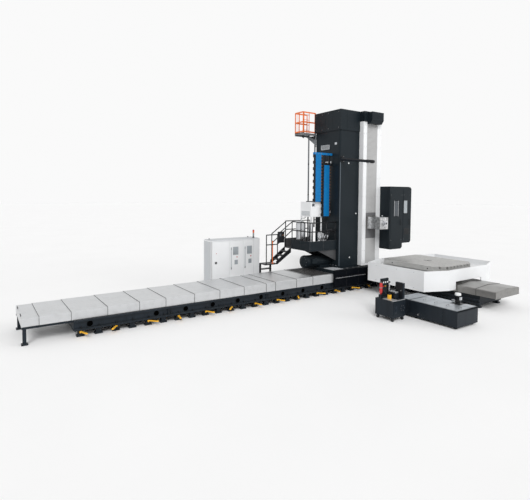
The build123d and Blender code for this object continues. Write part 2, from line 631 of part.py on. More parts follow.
with BuildPart() as platform_tanks:
    for at, radius, top in ((TANK_AT, TANK_R, TANK_TOP), (SMALL_TANK_AT, SMALL_TANK_R, SMALL_TANK_TOP)):
        with BuildSketch(Plane((*at, PLATFORM_DECK))):
            Circle(radius)
        extrude(amount=top - PLATFORM_DECK)
save(platform_tanks.part, "platform_tanks")

with BuildPart() as pump_group:
    bar((*PUMP_LOW, PLATFORM_DECK), (*PUMP_HIGH, PUMP_FRAME))
    with BuildSketch(Plane.XY.offset(PUMP_FRAME)):
        with Locations(*[(x, (PUMP_LOW[1] + PUMP_HIGH[1]) / 2) for x in PUMP_XS]):
            Circle(PUMP_R)
    extrude(amount=PUMP_TOP - PUMP_FRAME)
save(pump_group.part, "pump_group")

with BuildPart() as cooler:
    bar(COOLER_LOW, COOLER_HIGH)
    for x in (COOLER_LOW[0], COOLER_HIGH[0] - COOLER_LEG):
        for y in (COOLER_LOW[1], COOLER_HIGH[1] - COOLER_LEG):
            bar((x, y, PLATFORM_DECK), (x + COOLER_LEG, y + COOLER_LEG, COOLER_LOW[2]))
save(cooler.part, "cooler")

# Upright energy chains of the head, hung from a bracket on the column
CHAIN_Y = BED_Y - 130
CHAIN_BACK = CHAIN_Y + CHAIN_THICK
with BuildPart() as energy_chains:
    chain_left = CHAIN_RIGHT - 2 * CHAIN_WIDE - CHAIN_GAP
    bar((chain_left, CHAIN_Y, CHAIN_HIGH[0]), (COLUMN_LEFT, CHAIN_BACK, CHAIN_HIGH[0] + CHAIN_BRACKET))
    bar((CHAIN_RIGHT - CHAIN_WIDE, CHAIN_Y, CHAIN_HIGH[1]), (COLUMN_LEFT, CHAIN_BACK, CHAIN_HIGH[0]))
    for left, low, high in zip((chain_left, CHAIN_RIGHT - CHAIN_WIDE), CHAIN_LOW, CHAIN_HIGH):
        bar((left, CHAIN_Y, low), (left + CHAIN_WIDE, CHAIN_BACK, high))
save(energy_chains.part, "energy_chains")

with BuildPart() as caged_ladder:
    plate_low = GALLERY_TOP - GALLERY_PLATE
    beam_low = plate_low - GALLERY_BEAM
    for x in (LADDER_LEFT, LADDER_RIGHT - STILE):
        bar((x, LADDER_Y, LADDER_BOTTOM), (x + STILE, LADDER_Y + STILE, LADDER_TOP))
        for z in (LADDER_BOTTOM + RUNG_PITCH, (LADDER_BOTTOM + GALLERY_TOP) / 2):
            bar((x, COLUMN_BACK, z), (x + STILE, LADDER_Y, z + STILE))
    for k in range(int((GALLERY_TOP - LADDER_BOTTOM) // RUNG_PITCH)):
        z = LADDER_BOTTOM + (k + 0.5) * RUNG_PITCH
        bar((LADDER_LEFT + STILE, LADDER_Y, z), (LADDER_RIGHT - STILE, LADDER_Y + RUNG, z + RUNG))
    bar((GALLERY_LEFT, COLUMN_BACK, plate_low), (GALLERY_RIGHT - STILE, GALLERY_FAR, GALLERY_TOP))
    for y in (COLUMN_BACK, GALLERY_FAR - GALLERY_BEAM):
        bar((GALLERY_LEFT, y, beam_low), (LADDER_RIGHT, y + GALLERY_BEAM, plate_low))
    bar((LADDER_RIGHT - STILE, COLUMN_BACK, beam_low), (LADDER_RIGHT, GALLERY_FAR, plate_low))
    for x in (COLUMN_LEFT, LADDER_RIGHT - STILE):
        with BuildSketch(Plane((x, 0, 0), x_dir=(0, 1, 0), z_dir=(1, 0, 0))):
            Polygon((COLUMN_BACK, beam_low), (COLUMN_BACK, beam_low - GALLERY_BRACE),
                    (GALLERY_FAR, beam_low), align=None)
        extrude(amount=GALLERY_PLATE)
    corners = [(GALLERY_LEFT, CAGE_NEAR), (GALLERY_LEFT, (CAGE_NEAR + GALLERY_FAR) / 2),
               (GALLERY_LEFT, GALLERY_FAR - CAGE_STRIP), (GALLERY_RIGHT - 2 * STILE, CAGE_NEAR),
               (GALLERY_RIGHT - 2 * STILE, GALLERY_FAR - CAGE_STRIP)]
    for x, y in corners:
        bar((x, y, GALLERY_TOP), (x + STILE, y + CAGE_STRIP, LADDER_TOP))
    for z in CAGE_HOOPS:
        for y in (CAGE_NEAR, GALLERY_FAR - CAGE_STRIP):
            bar((GALLERY_LEFT, y, z), (GALLERY_RIGHT - STILE, y + CAGE_STRIP, z + CAGE_BAND))
        bar((GALLERY_LEFT, CAGE_NEAR, z), (GALLERY_LEFT + CAGE_STRIP, GALLERY_FAR, z + CAGE_BAND))
    bar((POLE_X, LADDER_Y, PLATFORM_DECK), (POLE_X + STILE, LADDER_Y + STILE, plate_low))
save(caged_ladder.part, "caged_ladder")

with BuildPart() as light_boom:
    slope = Plane((BOOM_X, COLUMN_FRONT, BOOM_Z), x_dir=(1, 0, 0), z_dir=(0, -1, 0))
    bar((BOOM_X - BOOM_R, COLUMN_FRONT - BOOM_PLATE, BOOM_Z - 2 * BOOM_R),
        (BOOM_X + 2 * BOOM_R, COLUMN_FRONT, BOOM_Z + 2 * BOOM_R))
    with BuildSketch(slope.rotated((BOOM_DROP, 0, 0)).offset(BOOM_R / 2)):
        Circle(BOOM_R)
    extrude(amount=BOOM_LENGTH)
save(light_boom.part, "light_boom")

with BuildPart() as tool_magazine:
    c = MAGAZINE_CHAMFER
    with BuildSketch(Plane((0, MAGAZINE_BACK, 0), x_dir=(1, 0, 0), z_dir=(0, -1, 0))):
        with BuildLine():
            Polyline((COLUMN_RIGHT, MAGAZINE_LOW + c), (COLUMN_RIGHT + c, MAGAZINE_LOW),
                     (MAGAZINE_MIDDLE - c, MAGAZINE_LOW),
                     (MAGAZINE_MIDDLE, MAGAZINE_LOW + c), (MAGAZINE_MIDDLE, MAGAZINE_STEP),
                     (MAGAZINE_RIGHT - c, MAGAZINE_STEP), (MAGAZINE_RIGHT, MAGAZINE_STEP + c),
                     (MAGAZINE_RIGHT, MAGAZINE_HIGH - c), (MAGAZINE_RIGHT - c, MAGAZINE_HIGH),
                     (COLUMN_RIGHT, MAGAZINE_HIGH), close=True)
        make_face()
    extrude(amount=MAGAZINE_BACK - MAGAZINE_NEAR)
save(tool_magazine.part, "tool_magazine")

# Bed of the work table
with BuildPart() as table_bed:
    with BuildSketch(Plane((0, TABLE_BED_FAR, 0), x_dir=(1, 0, 0), z_dir=(0, -1, 0))):
        with Locations((0, (TABLE_BED_FOOT + TABLE_BED_DECK) / 2)):
            Rectangle(2 * TABLE_BED_HALF, TABLE_BED_DECK - TABLE_BED_FOOT)
        with Locations((0, TABLE_BED_FOOT + FLANGE_THICK / 2), (0, TABLE_BED_FLANGE - FLANGE_THICK / 2)):
            Rectangle(2 * (TABLE_BED_HALF + TABLE_FLANGE_OUT), FLANGE_THICK)
        guide = TABLE_GUIDE_HALF - TABLE_GUIDE_WIDTH / 2
        guide_z = (TABLE_BED_DECK + TABLE_GUIDE_TOP) / 2
        with Locations((-guide, guide_z), (guide, guide_z)):
            Rectangle(TABLE_GUIDE_WIDTH, TABLE_GUIDE_TOP - TABLE_BED_DECK)
    extrude(amount=TABLE_BED_FAR - TABLE_BED_NEAR)
save(table_bed.part, "table_bed")


def table_cover(near, far, size, plates, lift):
    """One segment of a table bed cover, ridged along the middle."""
    half = TABLE_COVER_HALF - size * GROWTH
    side = TABLE_COVER_SIDE - size * GROWTH
    ridge = TABLE_COVER_RIDGE - size * GROWTH
    with BuildPart() as segment:
        with BuildSketch(Plane((0, far, 0), x_dir=(1, 0, 0), z_dir=(0, -1, 0))):
            Polygon(*tunnel(half, side, ridge, COVER_FOLD, TABLE_COVER_FOOT), align=None)
        extrude(amount=far - near)
        with BuildSketch(Plane((0, far, 0), x_dir=(1, 0, 0), z_dir=(0, -1, 0))):
            Polygon(*tunnel(half - SHEET, side - SHEET, ridge - SHEET, COVER_FOLD - SHEET / 2,
                            TABLE_COVER_FOOT - 1), align=None)
        extrude(amount=far - near, mode=Mode.SUBTRACT)
        foot = TABLE_BED_DECK + lift
        for place in plates:
            with BuildSketch(Plane((0, place + BULKHEAD, 0), x_dir=(1, 0, 0), z_dir=(0, -1, 0))):
                Polygon(*tunnel(half - SHEET, side - SHEET, ridge - SHEET, COVER_FOLD - SHEET / 2, foot),
                        align=None)
                with Locations((0, (foot + TABLE_GUIDE_TOP + GUIDE_CLEAR) / 2)):
                    Rectangle(2 * (TABLE_GUIDE_HALF + GUIDE_CLEAR), TABLE_GUIDE_TOP + GUIDE_CLEAR - foot,
                              mode=Mode.SUBTRACT)
            extrude(amount=BULKHEAD)
    return segment.part


near_step = (TABLE_SADDLE_NEAR - NEAR_SEGMENT - NEAR_END) / 2
for k in range(3):
    near = NEAR_END + k * near_step
    far = near + NEAR_SEGMENT
    plates = ((near, far - BULKHEAD), (far - BULKHEAD,), ())[k]
    save(table_cover(near, far, 2 - k, plates, RUN_GAP if k else 0), f"table_cover_near_{k + 1}")
far_step = (TABLE_BED_FAR - FAR_SEGMENT - TABLE_SADDLE_FAR) / 2
for k in range(3):
    far = TABLE_BED_FAR - k * far_step
    near = far - FAR_SEGMENT
    plates = ((near, far - BULKHEAD), (near,), ())[k]
    save(table_cover(near, far, 2 - k, plates, RUN_GAP if k else 0), f"table_cover_far_{k + 1}")

# Table saddle, its splash skirt and the turning table
with BuildPart() as table_saddle:
    slide = TABLE_GUIDE_TOP + RUN_GAP
    bar((-TABLE_SADDLE_HALF, TABLE_SADDLE_NEAR, slide),
        (TABLE_SADDLE_HALF, TABLE_SADDLE_FAR, TRAY - TRAY_THICK))
save(table_saddle.part, "table_saddle")

with BuildPart() as table_skirt:
    outline = [(-SKIRT_X, SKIRT_NEAR + SKIRT_CHAMFER_Y), (-SKIRT_X + SKIRT_CHAMFER_X, SKIRT_NEAR),
               (SKIRT_X - SKIRT_CHAMFER_X, SKIRT_NEAR), (SKIRT_X, SKIRT_NEAR + SKIRT_CHAMFER_Y),
               (SKIRT_X, SKIRT_FAR - SKIRT_CHAMFER_Y), (SKIRT_X - SKIRT_CHAMFER_X, SKIRT_FAR),
               (-SKIRT_X + SKIRT_CHAMFER_X, SKIRT_FAR), (-SKIRT_X, SKIRT_FAR - SKIRT_CHAMFER_Y)]
    with BuildSketch(Plane.XY.offset(SKIRT_BOTTOM)):
        with BuildLine():
            Polyline(*outline, close=True)
        make_face()
        offset(amount=-SKIRT_SHEET, mode=Mode.SUBTRACT)
    extrude(amount=SKIRT_TOP - SKIRT_BOTTOM)
    with BuildSketch(Plane.XY.offset(TRAY - TRAY_THICK)):
        with BuildLine():
            Polyline(*outline, close=True)
        make_face()
    extrude(amount=TRAY_THICK)
    for low, high in ((SKIRT_NEAR - 1, SKIRT_NEAR + SKIRT_SHEET + 1),
                      (SKIRT_FAR - SKIRT_SHEET - 1, SKIRT_FAR + 1)):
        bar((-CUT_HALF, low, SKIRT_BOTTOM - 1), (CUT_HALF, high, CUT_TOP), mode=Mode.SUBTRACT)
    bar((-FAR_DIP, SKIRT_FAR - SKIRT_SHEET - 1, TRAY), (FAR_DIP, SKIRT_FAR + 1, SKIRT_TOP + 1),
        mode=Mode.SUBTRACT)
save(table_skirt.part, "table_skirt")

with BuildPart() as turning_table:
    bottom = TABLE_TOP - TABLE_THICK
    with BuildSketch(Plane.XY.offset(bottom)):
        with BuildLine():
            Polyline((-TABLE_X, -TABLE_Y + TABLE_CHAMFER_Y), (-TABLE_X + TABLE_CHAMFER_X, -TABLE_Y),
                     (TABLE_X - TABLE_CHAMFER_X, -TABLE_Y), (TABLE_X, -TABLE_Y + TABLE_CHAMFER_Y),
                     (TABLE_X, TABLE_Y - TABLE_CORNER), (TABLE_X - TABLE_CORNER, TABLE_Y),
                     (-TABLE_X + TABLE_CORNER, TABLE_Y), (-TABLE_X, TABLE_Y - TABLE_CORNER), close=True)
        make_face()
    extrude(amount=TABLE_THICK)
    with BuildSketch(Plane.XY.offset(TRAY + RUN_GAP)):
        Circle(BEARING_R)
    extrude(amount=bottom - TRAY - RUN_GAP)
    with BuildSketch(Plane.XY.offset(TABLE_TOP)):
        Circle(TABLE_BORE_R)
    extrude(amount=-TABLE_BORE_DEEP, mode=Mode.SUBTRACT)
    with BuildSketch(Plane.XY.offset(TABLE_TOP)):
        with GridLocations(SLOT_PITCH, 0, SLOT_COUNT, 1):
            Rectangle(SLOT_WIDTH, 2 * TABLE_Y + 2)
    extrude(amount=-SLOT_DEPTH, mode=Mode.SUBTRACT)
    with BuildSketch(Plane.XY.offset(TABLE_TOP - SLOT_DEPTH)):
        with GridLocations(SLOT_PITCH, 0, SLOT_COUNT, 1):
            Rectangle(SLOT_HEAD, 2 * TABLE_Y + 2)
    extrude(amount=-SLOT_HEAD_DEEP, mode=Mode.SUBTRACT)
save(turning_table.part, "turning_table")

# Chip and coolant tank
with BuildPart() as coolant_tank:
    bar(COOLANT_LOW, COOLANT_HIGH)
    for x in (COOLANT_LOW[0] + COOLANT_FOOT, COOLANT_HIGH[0] - 2 * COOLANT_FOOT):
        for y in (COOLANT_LOW[1] + COOLANT_FOOT, COOLANT_HIGH[1] - 2 * COOLANT_FOOT):
            bar((x, y, 0), (x + COOLANT_FOOT, y + COOLANT_FOOT, COOLANT_LOW[2]))
save(coolant_tank.part, "coolant_tank")

with BuildPart() as coolant_pump:
    with BuildSketch(Plane((*COOLANT_PUMP, COOLANT_HIGH[2]))):
        Circle(COOLANT_PUMP_R)
    extrude(amount=COOLANT_PUMP_HIGH)
save(coolant_pump.part, "coolant_pump")

# Hydraulic unit on castors, with its panel, valve block and pressure vessel
with BuildPart() as hydraulic_unit:
    bar(HYDRAULIC_LOW, HYDRAULIC_HIGH)
    for x in (HYDRAULIC_LOW[0] + CASTOR / 2, HYDRAULIC_HIGH[0] - CASTOR * 3 / 2):
        for y in (HYDRAULIC_LOW[1] + CASTOR / 2, HYDRAULIC_HIGH[1] - CASTOR * 3 / 2):
            bar((x, y, 0), (x + CASTOR, y + CASTOR, HYDRAULIC_LOW[2]))
    panel_y = HYDRAULIC_HIGH[1] - 2 * PANEL_THICK
    bar((PANEL_LEFT, panel_y, HYDRAULIC_HIGH[2]), (PANEL_RIGHT, panel_y + PANEL_THICK, PANEL_TOP))
    bar((*VALVE_LOW, HYDRAULIC_HIGH[2]), VALVE_HIGH)
    bar((VESSEL_AT[0] - VESSEL_R, VESSEL_AT[1] - VESSEL_R, HYDRAULIC_HIGH[2]),
        (VESSEL_AT[0] + VESSEL_R, VESSEL_AT[1] + VESSEL_R, HYDRAULIC_HIGH[2] + VESSEL_BLOCK))
save(hydraulic_unit.part, "hydraulic_unit")

with BuildPart() as pressure_vessel:
    with BuildSketch(Plane((*VESSEL_AT, HYDRAULIC_HIGH[2] + VESSEL_BLOCK))):
        Circle(VESSEL_R)
    extrude(amount=VESSEL_HIGH)
save(pressure_vessel.part, "pressure_vessel")

# Electrical cabinet with three doors that turn on pins between plinth and roof
CABINET_BACK = CABINET_FRONT + CABINET_DEEP
DOOR_BACK = CABINET_FRONT - DOOR_SEAL
DOOR_FRONT = DOOR_BACK - DOOR_THICK
DOOR_LOW = CABINET_PLINTH + DOOR_SEAL
DOOR_HIGH = CABINET_TOP - CABINET_WALL - DOOR_SEAL
PIN_Y = (DOOR_BACK + DOOR_FRONT) / 2
DOOR_STARTS = (CABINET_LEFT + CABINET_WALL, *DOOR_SPLITS[:-1])
DOORS = [(start + DOOR_GAP / 2, end - DOOR_GAP / 2) for start, end in zip(DOOR_STARTS, DOOR_SPLITS)]
with BuildPart() as electrical_cabinet:
    bar((CABINET_LEFT, CABINET_FRONT, 0), (CABINET_RIGHT, CABINET_BACK, CABINET_TOP))
    bar((CABINET_LEFT, DOOR_FRONT, 0), (CABINET_RIGHT, CABINET_FRONT, CABINET_PLINTH))
    bar((CABINET_LEFT, DOOR_FRONT, CABINET_TOP - CABINET_WALL), (CABINET_RIGHT, CABINET_FRONT, CABINET_TOP))
    bar((CABINET_LEFT + CABINET_WALL, CABINET_FRONT, CABINET_PLINTH),
        (CABINET_RIGHT - CABINET_WALL, CABINET_BACK - CABINET_WALL, CABINET_TOP - CABINET_WALL),
        mode=Mode.SUBTRACT)
    bar((DOOR_SPLITS[-1] + DOOR_GAP / 2, DOOR_FRONT, CABINET_PLINTH),
        (CABINET_RIGHT, CABINET_FRONT, CABINET_TOP - CABINET_WALL))
    pins = [(left + PIN_IN, PIN_Y) for left, right in DOORS]
    for z in (CABINET_PLINTH, CABINET_TOP - CABINET_WALL - PIN_LENGTH):
        with BuildSketch(Plane.XY.offset(z)):
            with Locations(*pins):
                Circle(PIN_R)
        extrude(amount=PIN_LENGTH)
    with BuildSketch(Plane.XY.offset(CABINET_TOP)):
        with Locations((LAMP_X, CABINET_FRONT + LAMP_IN)):
            Circle(LAMP_R)
    extrude(amount=LAMP_HIGH)
save(electrical_cabinet.part, "electrical_cabinet")
for k, (left, right) in enumerate(DOORS):
    with BuildPart() as cabinet_door:
        bar((left, DOOR_FRONT, DOOR_LOW), (right, DOOR_BACK, DOOR_HIGH))
        fillet(cabinet_door.edges().filter_by(Axis.Z).group_by(Axis.X)[0], DOOR_ROUND)
        for z, way in ((DOOR_LOW, 1), (DOOR_HIGH, -1)):
            with BuildSketch(Plane.XY.offset(z)):
                with Locations((left + PIN_IN, PIN_Y)):
                    Circle(PIN_R + SPINDLE_FIT)
            extrude(amount=way * (PIN_LENGTH - DOOR_SEAL + 1), mode=Mode.SUBTRACT)
    save(cabinet_door.part, f"cabinet_door_{k + 1}")
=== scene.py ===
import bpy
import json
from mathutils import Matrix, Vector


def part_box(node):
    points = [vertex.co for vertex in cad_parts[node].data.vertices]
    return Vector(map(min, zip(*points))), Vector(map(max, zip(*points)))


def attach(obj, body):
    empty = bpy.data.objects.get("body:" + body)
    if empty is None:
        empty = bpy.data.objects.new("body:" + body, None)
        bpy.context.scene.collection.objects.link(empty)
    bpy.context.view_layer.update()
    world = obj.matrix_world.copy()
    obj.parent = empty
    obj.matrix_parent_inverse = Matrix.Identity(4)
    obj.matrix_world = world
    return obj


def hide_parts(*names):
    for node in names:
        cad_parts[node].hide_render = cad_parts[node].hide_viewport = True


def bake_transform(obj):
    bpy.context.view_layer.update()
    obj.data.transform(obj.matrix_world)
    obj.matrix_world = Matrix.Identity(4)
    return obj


bl_info = {
    "name": "Horizontal boring mill",
    "version": (1, 0, 0),
    "blender": (4, 5, 0),
    "location": "3D View > Sidebar > Boring mill",
    "description": "Dresses the packed boring mill with its fittings and finishes",
    "category": "Object",
}

import json
import math

import bmesh
import bpy
from bpy.props import FloatProperty, FloatVectorProperty, IntProperty, PointerProperty
from mathutils import Matrix, Vector

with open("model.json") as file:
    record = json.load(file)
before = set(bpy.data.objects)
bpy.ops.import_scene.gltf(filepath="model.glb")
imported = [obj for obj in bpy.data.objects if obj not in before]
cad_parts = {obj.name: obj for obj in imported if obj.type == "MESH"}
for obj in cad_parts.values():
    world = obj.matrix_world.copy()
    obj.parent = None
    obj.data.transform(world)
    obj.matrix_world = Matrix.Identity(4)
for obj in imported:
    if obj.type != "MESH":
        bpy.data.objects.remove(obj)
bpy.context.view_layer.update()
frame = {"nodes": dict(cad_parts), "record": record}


def box(node):
    """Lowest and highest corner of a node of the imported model."""
    low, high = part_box(node)
    return Vector(low), Vector(high)


# Every place is in metres in the row frame: x along the long bed, y away from the camera, z up
BED_LOW, BED_HIGH = box("bed")
BED_Y = (BED_LOW.y + BED_HIGH.y) / 2
COLUMN_LOW, COLUMN_HIGH = box("column")
FRAME_LOW, FRAME_HIGH = box("front_frame")
HEAD_LOW, HEAD_HIGH = box("headstock")
RAM_LOW, RAM_HIGH = box("ram")
SPINDLE_X = (RAM_LOW.x + RAM_HIGH.x) / 2
SPINDLE_Z = (RAM_LOW.z + RAM_HIGH.z) / 2
TABLE_LOW, TABLE_HIGH = box("turning_table")
SKIRT_LOW, SKIRT_HIGH = box("table_skirt")

# Covers, each row from its outermost, fixed one inwards
LEFT_COVERS = [f"bed_cover_left_{k:02d}" for k in range(1, 14)]
RIGHT_COVERS = [f"bed_cover_right_{k}" for k in range(1, 6)]
NEAR_COVERS = [f"table_cover_near_{k}" for k in (1, 2, 3)]
FAR_COVERS = [f"table_cover_far_{k}" for k in (1, 2, 3)]
TABLE_RIDGE = 0.05              # how far the table's covers rise to their ridge
CABINET_DOORS = [f"cabinet_door_{k}" for k in (1, 2, 3)]
DOOR_PANEL = 0.004              # thickness of the panel on each door
# The body that each node rides on
OWNER = {node: body for body, nodes in frame["record"]["behaviour"]["bodies"].items()
         for node in nodes}

# Places that several pieces share, measured on the photograph where no box gives them
DECK = box("platform_tanks")[0].z
RAIL_TOP = 2.602
STAIR_SIDE = 0.672              # from the bed's middle to where the stair begins
STAIR_Y = BED_Y + STAIR_SIDE - 0.017    # the stair's near railing
LANDING = 1.04                  # floor of the low landing at the stair's foot
LANDING_RAIL = 2.122            # top of that landing's railing
LANDING_LEFT, LANDING_RIGHT = -5.183, -4.683
CAGE_FLOOR = 6.012              # floor of the guarded landing at the ladder's top
BIG_TANK, SMALL_TANK = (-3.79, BED_Y + 0.4), (-3.42, BED_Y + 0.25)
PUMPS_X = (-3.40, -3.22, -3.06)
HYDRAULIC_TOP = 0.59            # lid of the hydraulic unit
PANEL_LEFT = -4.060             # left edge of its gauge panel


# Shader work

class Wire:
    """One output socket, so that shader maths reads as plain sums."""

    def __init__(self, finish, socket):
        self.finish = finish
        self.socket = socket

    def maths(self, operation, first, second):
        return self.finish.node("ShaderNodeMath", {"operation": operation},
                                {0: first, 1: second})

    def __add__(self, other):
        return self.maths("ADD", self, other)

    def __radd__(self, other):
        return self.maths("ADD", other, self)

    def __sub__(self, other):
        return self.maths("SUBTRACT", self, other)

    def __rsub__(self, other):
        return self.maths("SUBTRACT", other, self)

    def __mul__(self, other):
        return self.maths("MULTIPLY", self, other)

    def __rmul__(self, other):
        return self.maths("MULTIPLY", other, self)

    def __gt__(self, other):
        return self.maths("GREATER_THAN", self, other)

    def __lt__(self, other):
        return self.maths("LESS_THAN", self, other)

    def __mod__(self, other):
        return self.maths("FLOORED_MODULO", self, other)

    def __rmod__(self, other):
        return self.maths("FLOORED_MODULO", other, self)


class Shading:
    """A tree of shader nodes round one shader, in a material or in the world."""

    def __init__(self, owner, shader):
        owner.use_nodes = True
        self.tree = owner.node_tree
        self.shader = self.tree.nodes[shader]

    def node(self, kind, settings=None, values=None, output=0):
        """Add a node: its settings first, then the values or wires of its sockets."""
        made = self.tree.nodes.new(kind)
        for key, value in (settings or {}).items():
            if key == "stops":
                self.fill(made.color_ramp, value)
            else:
                setattr(made, key, value)
        for key, value in (values or {}).items():
            if isinstance(value, Wire):
                self.tree.links.new(value.socket, made.inputs[key])
            else:
                made.inputs[key].default_value = value
        return Wire(self, made.outputs[output])

    @staticmethod
    def fill(ramp, stops):
        while len(ramp.elements) < len(stops):
            ramp.elements.new(1.0)
        for element, (place, shade) in zip(ramp.elements, stops):
            element.position = place
            element.color = (shade, shade, shade, 1.0)

    def feed(self, name, value):
        self.tree.links.new(value.socket, self.shader.inputs[name])


class Finish(Shading):
    """A procedural material of one base colour.

    Its textures are laid out in the row frame, in metres. Scales are repeats in a metre.
    """

    def __init__(self, name, colour, roughness=0.45, metallic=0.0, coat=0.0, mirror=0.5):
        self.material = bpy.data.materials.new(name)
        super().__init__(self.material, "Principled BSDF")
        self.colour = (*colour, 1.0)
        self.shader.inputs["Base Color"].default_value = self.colour
        self.shader.inputs["Roughness"].default_value = roughness
        self.shader.inputs["Metallic"].default_value = metallic
        self.shader.inputs["Coat Weight"].default_value = coat
        self.shader.inputs["Specular IOR Level"].default_value = mirror

    def place(self):
        """The three coordinates of the row frame, as wires."""
        spot = self.node("ShaderNodeTexCoord", output="Object")
        return [self.node("ShaderNodeSeparateXYZ", {}, {0: spot}, output=k) for k in range(3)]

    def noise(self, scale, detail=3.0, stretch=(1, 1, 1)):
        spot = self.node("ShaderNodeTexCoord", output="Object")
        spot = self.node("ShaderNodeVectorMath", {"operation": "MULTIPLY"},
                         {0: spot, 1: stretch})
        return self.node("ShaderNodeTexNoise", {},
                         {"Vector": spot, "Scale": scale, "Detail": detail})

    def ramp(self, value, stops):
        return self.node("ShaderNodeValToRGB", {"stops": stops}, {0: value})

    def facing_up(self):
        normal = self.node("ShaderNodeNewGeometry", output="Normal")
        height = self.node("ShaderNodeSeparateXYZ", {}, {0: normal}, output=2)
        return self.node("ShaderNodeMath", {"operation": "MAXIMUM"}, {0: height, 1: 0.0})

    def mix(self, share, first, second):
        return self.node("ShaderNodeMix", {"data_type": "RGBA"},
                         {0: share, 6: first, 7: second}, output=2)

    def shade(self, factor):
        return tuple(min(1.0, part * factor) for part in self.colour[:3]) + (1.0,)

    def bump(self, height, strength, distance=0.002):
        self.feed("Normal", self.node("ShaderNodeBump", {}, {"Strength": strength,
                                                             "Distance": distance,
                                                             "Height": height}))


DUST = (0.42, 0.41, 0.39, 1.0)


def painted(name, colour, roughness=0.36, dust=0.12, peel=0.06, mirror=0.5, second=None):
    """Sprayed paint: slow change of tone, dust on what faces up, and orange peel.

    second is (axis, limit, colour): beyond that place along the axis the paint has that colour.
    """
    finish = Finish(name, colour, roughness, mirror=mirror)
    patches = finish.noise(0.8, 5.0)
    streaks = finish.noise(2.2, 3.0, (3, 3, 0.35))
    tone = finish.mix(patches, finish.shade(0.86), finish.shade(1.12))
    if second:
        axis, limit, other = second
        beyond = finish.place()[axis] > limit
        tone = finish.mix(beyond, tone, (*other, 1.0))
    tone = finish.mix(finish.facing_up() * patches * dust, tone, DUST)
    finish.feed("Base Color", tone)
    finish.feed("Roughness", roughness - 0.1 + patches * 0.12 + streaks * 0.08)
    finish.bump(finish.noise(90, 2.0), peel)
    return finish.material


def casting(name, colour):
    """Filled and painted cast iron, a little uneven, with oily darker runs."""
    finish = Finish(name, colour, 0.42, mirror=0.2)
    broad = finish.noise(1.4, 4.0)
    runs = finish.ramp(finish.noise(3.0, 4.0, (2.5, 2.5, 0.4)), [(0.42, 0.0), (0.7, 1.0)])
    tone = finish.mix(broad, finish.shade(0.8), finish.shade(1.25))
    tone = finish.mix(runs * 0.5, tone, finish.shade(0.5))
    tone = finish.mix(finish.facing_up() * broad * 0.1, tone, DUST)
    finish.feed("Base Color", tone)
    finish.feed("Roughness", 0.3 + broad * 0.24)
    finish.bump(finish.noise(26, 5.0) * 0.8 + finish.noise(5, 2.0), 0.16, 0.004)
    return finish.material


def brushed(name, colour, along, roughness=0.34, marks=0.3, metallic=0.9):
    """Sheet or ground steel with a grain along one axis, smears and small scratches."""
    finish = Finish(name, colour, roughness, metallic)
    across = [240, 240, 240]
    across[along] = 1.6
    grain = finish.noise(1.0, 3.0, across)
    smears = finish.noise(1.7, 4.0)
    spots = finish.ramp(finish.noise(7.0, 6.0), [(0.48, 0.0), (0.66, 1.0)])
    tone = finish.mix(grain, finish.shade(0.84), finish.shade(1.14))
    tone = finish.mix(spots * marks, tone, finish.shade(0.6))
    finish.feed("Base Color", tone)
    finish.feed("Roughness", roughness - 0.08 + smears * 0.14 + grain * 0.06)
    finish.bump(grain, 0.05, 0.0005)
    return finish.material


def scraped(name, colour, roughness=0.3):
    """Scraped and hardened steel with mottled crescents."""
    finish = Finish(name, colour, roughness, 0.9)
    spot = finish.node("ShaderNodeTexCoord", output="Object")
    cells = finish.node("ShaderNodeTexVoronoi", {"feature": "SMOOTH_F1"},
                        {"Vector": spot, "Scale": 42.0, "Smoothness": 0.4}, output="Distance")
    clouds = finish.noise(3.0, 6.0)
    blotches = finish.ramp(finish.noise(11.0, 4.0), [(0.42, 0.0), (0.58, 1.0)])
    tone = finish.mix(cells, finish.shade(1.35), finish.shade(0.8))
    tone = finish.mix(blotches * 0.6, tone, finish.shade(0.4))
    tone = finish.mix(finish.ramp(clouds, [(0.45, 0.0), (0.6, 0.35)]), tone, finish.shade(0.55))
    finish.feed("Base Color", tone)
    finish.feed("Roughness", 0.2 + clouds * 0.28)
    finish.bump(cells, 0.08, 0.0006)
    return finish.material


def polished(name, colour, roughness=0.12):
    """Bright metal with faint handling marks."""
    finish = Finish(name, colour, roughness, 1.0)
    smears = finish.noise(5.0, 5.0)
    finish.feed("Base Color", finish.mix(smears, finish.shade(0.88), finish.shade(1.05)))
    finish.feed("Roughness", roughness * 0.6 + smears * roughness)
    finish.bump(finish.noise(60, 2.0), 0.02)
    return finish.material


def moulded(name, colour, roughness=0.5, mirror=0.3):
    """Moulded plastic or rubber, with a fine skin."""
    finish = Finish(name, colour, roughness, mirror=mirror)
    cloud = finish.noise(4.0, 4.0)
    tone = finish.mix(cloud, finish.shade(0.82), finish.shade(1.15))
    finish.feed("Base Color", finish.mix(finish.facing_up() * cloud * 0.18, tone, DUST))
    finish.feed("Roughness", roughness - 0.08 + cloud * 0.16)
    finish.bump(finish.noise(220, 2.0), 0.08, 0.0005)
    return finish.material


def tread_plate(name, colour):
    """Dark deck plate with raised bars, dusty where it is walked on."""
    finish = Finish(name, colour, 0.5, 0.2, mirror=0.2)
    x, y = finish.place()[:2]
    ridge = [(0.0, 0.0), (0.12, 1.0), (0.3, 1.0), (0.42, 0.0)]
    first, second = [finish.ramp((slant * 22.0) % 1.0, ridge) for slant in (x + y, x - y)]
    bars = first * (1 - second)
    worn = finish.noise(1.5, 5.0)
    tone = finish.mix(bars * worn, finish.colour, finish.shade(2.4))
    finish.feed("Base Color", finish.mix(worn * 0.18, tone, DUST))
    finish.feed("Roughness", 0.38 + worn * 0.3)
    finish.bump(bars * finish.facing_up(), 0.5, 0.003)
    return finish.material


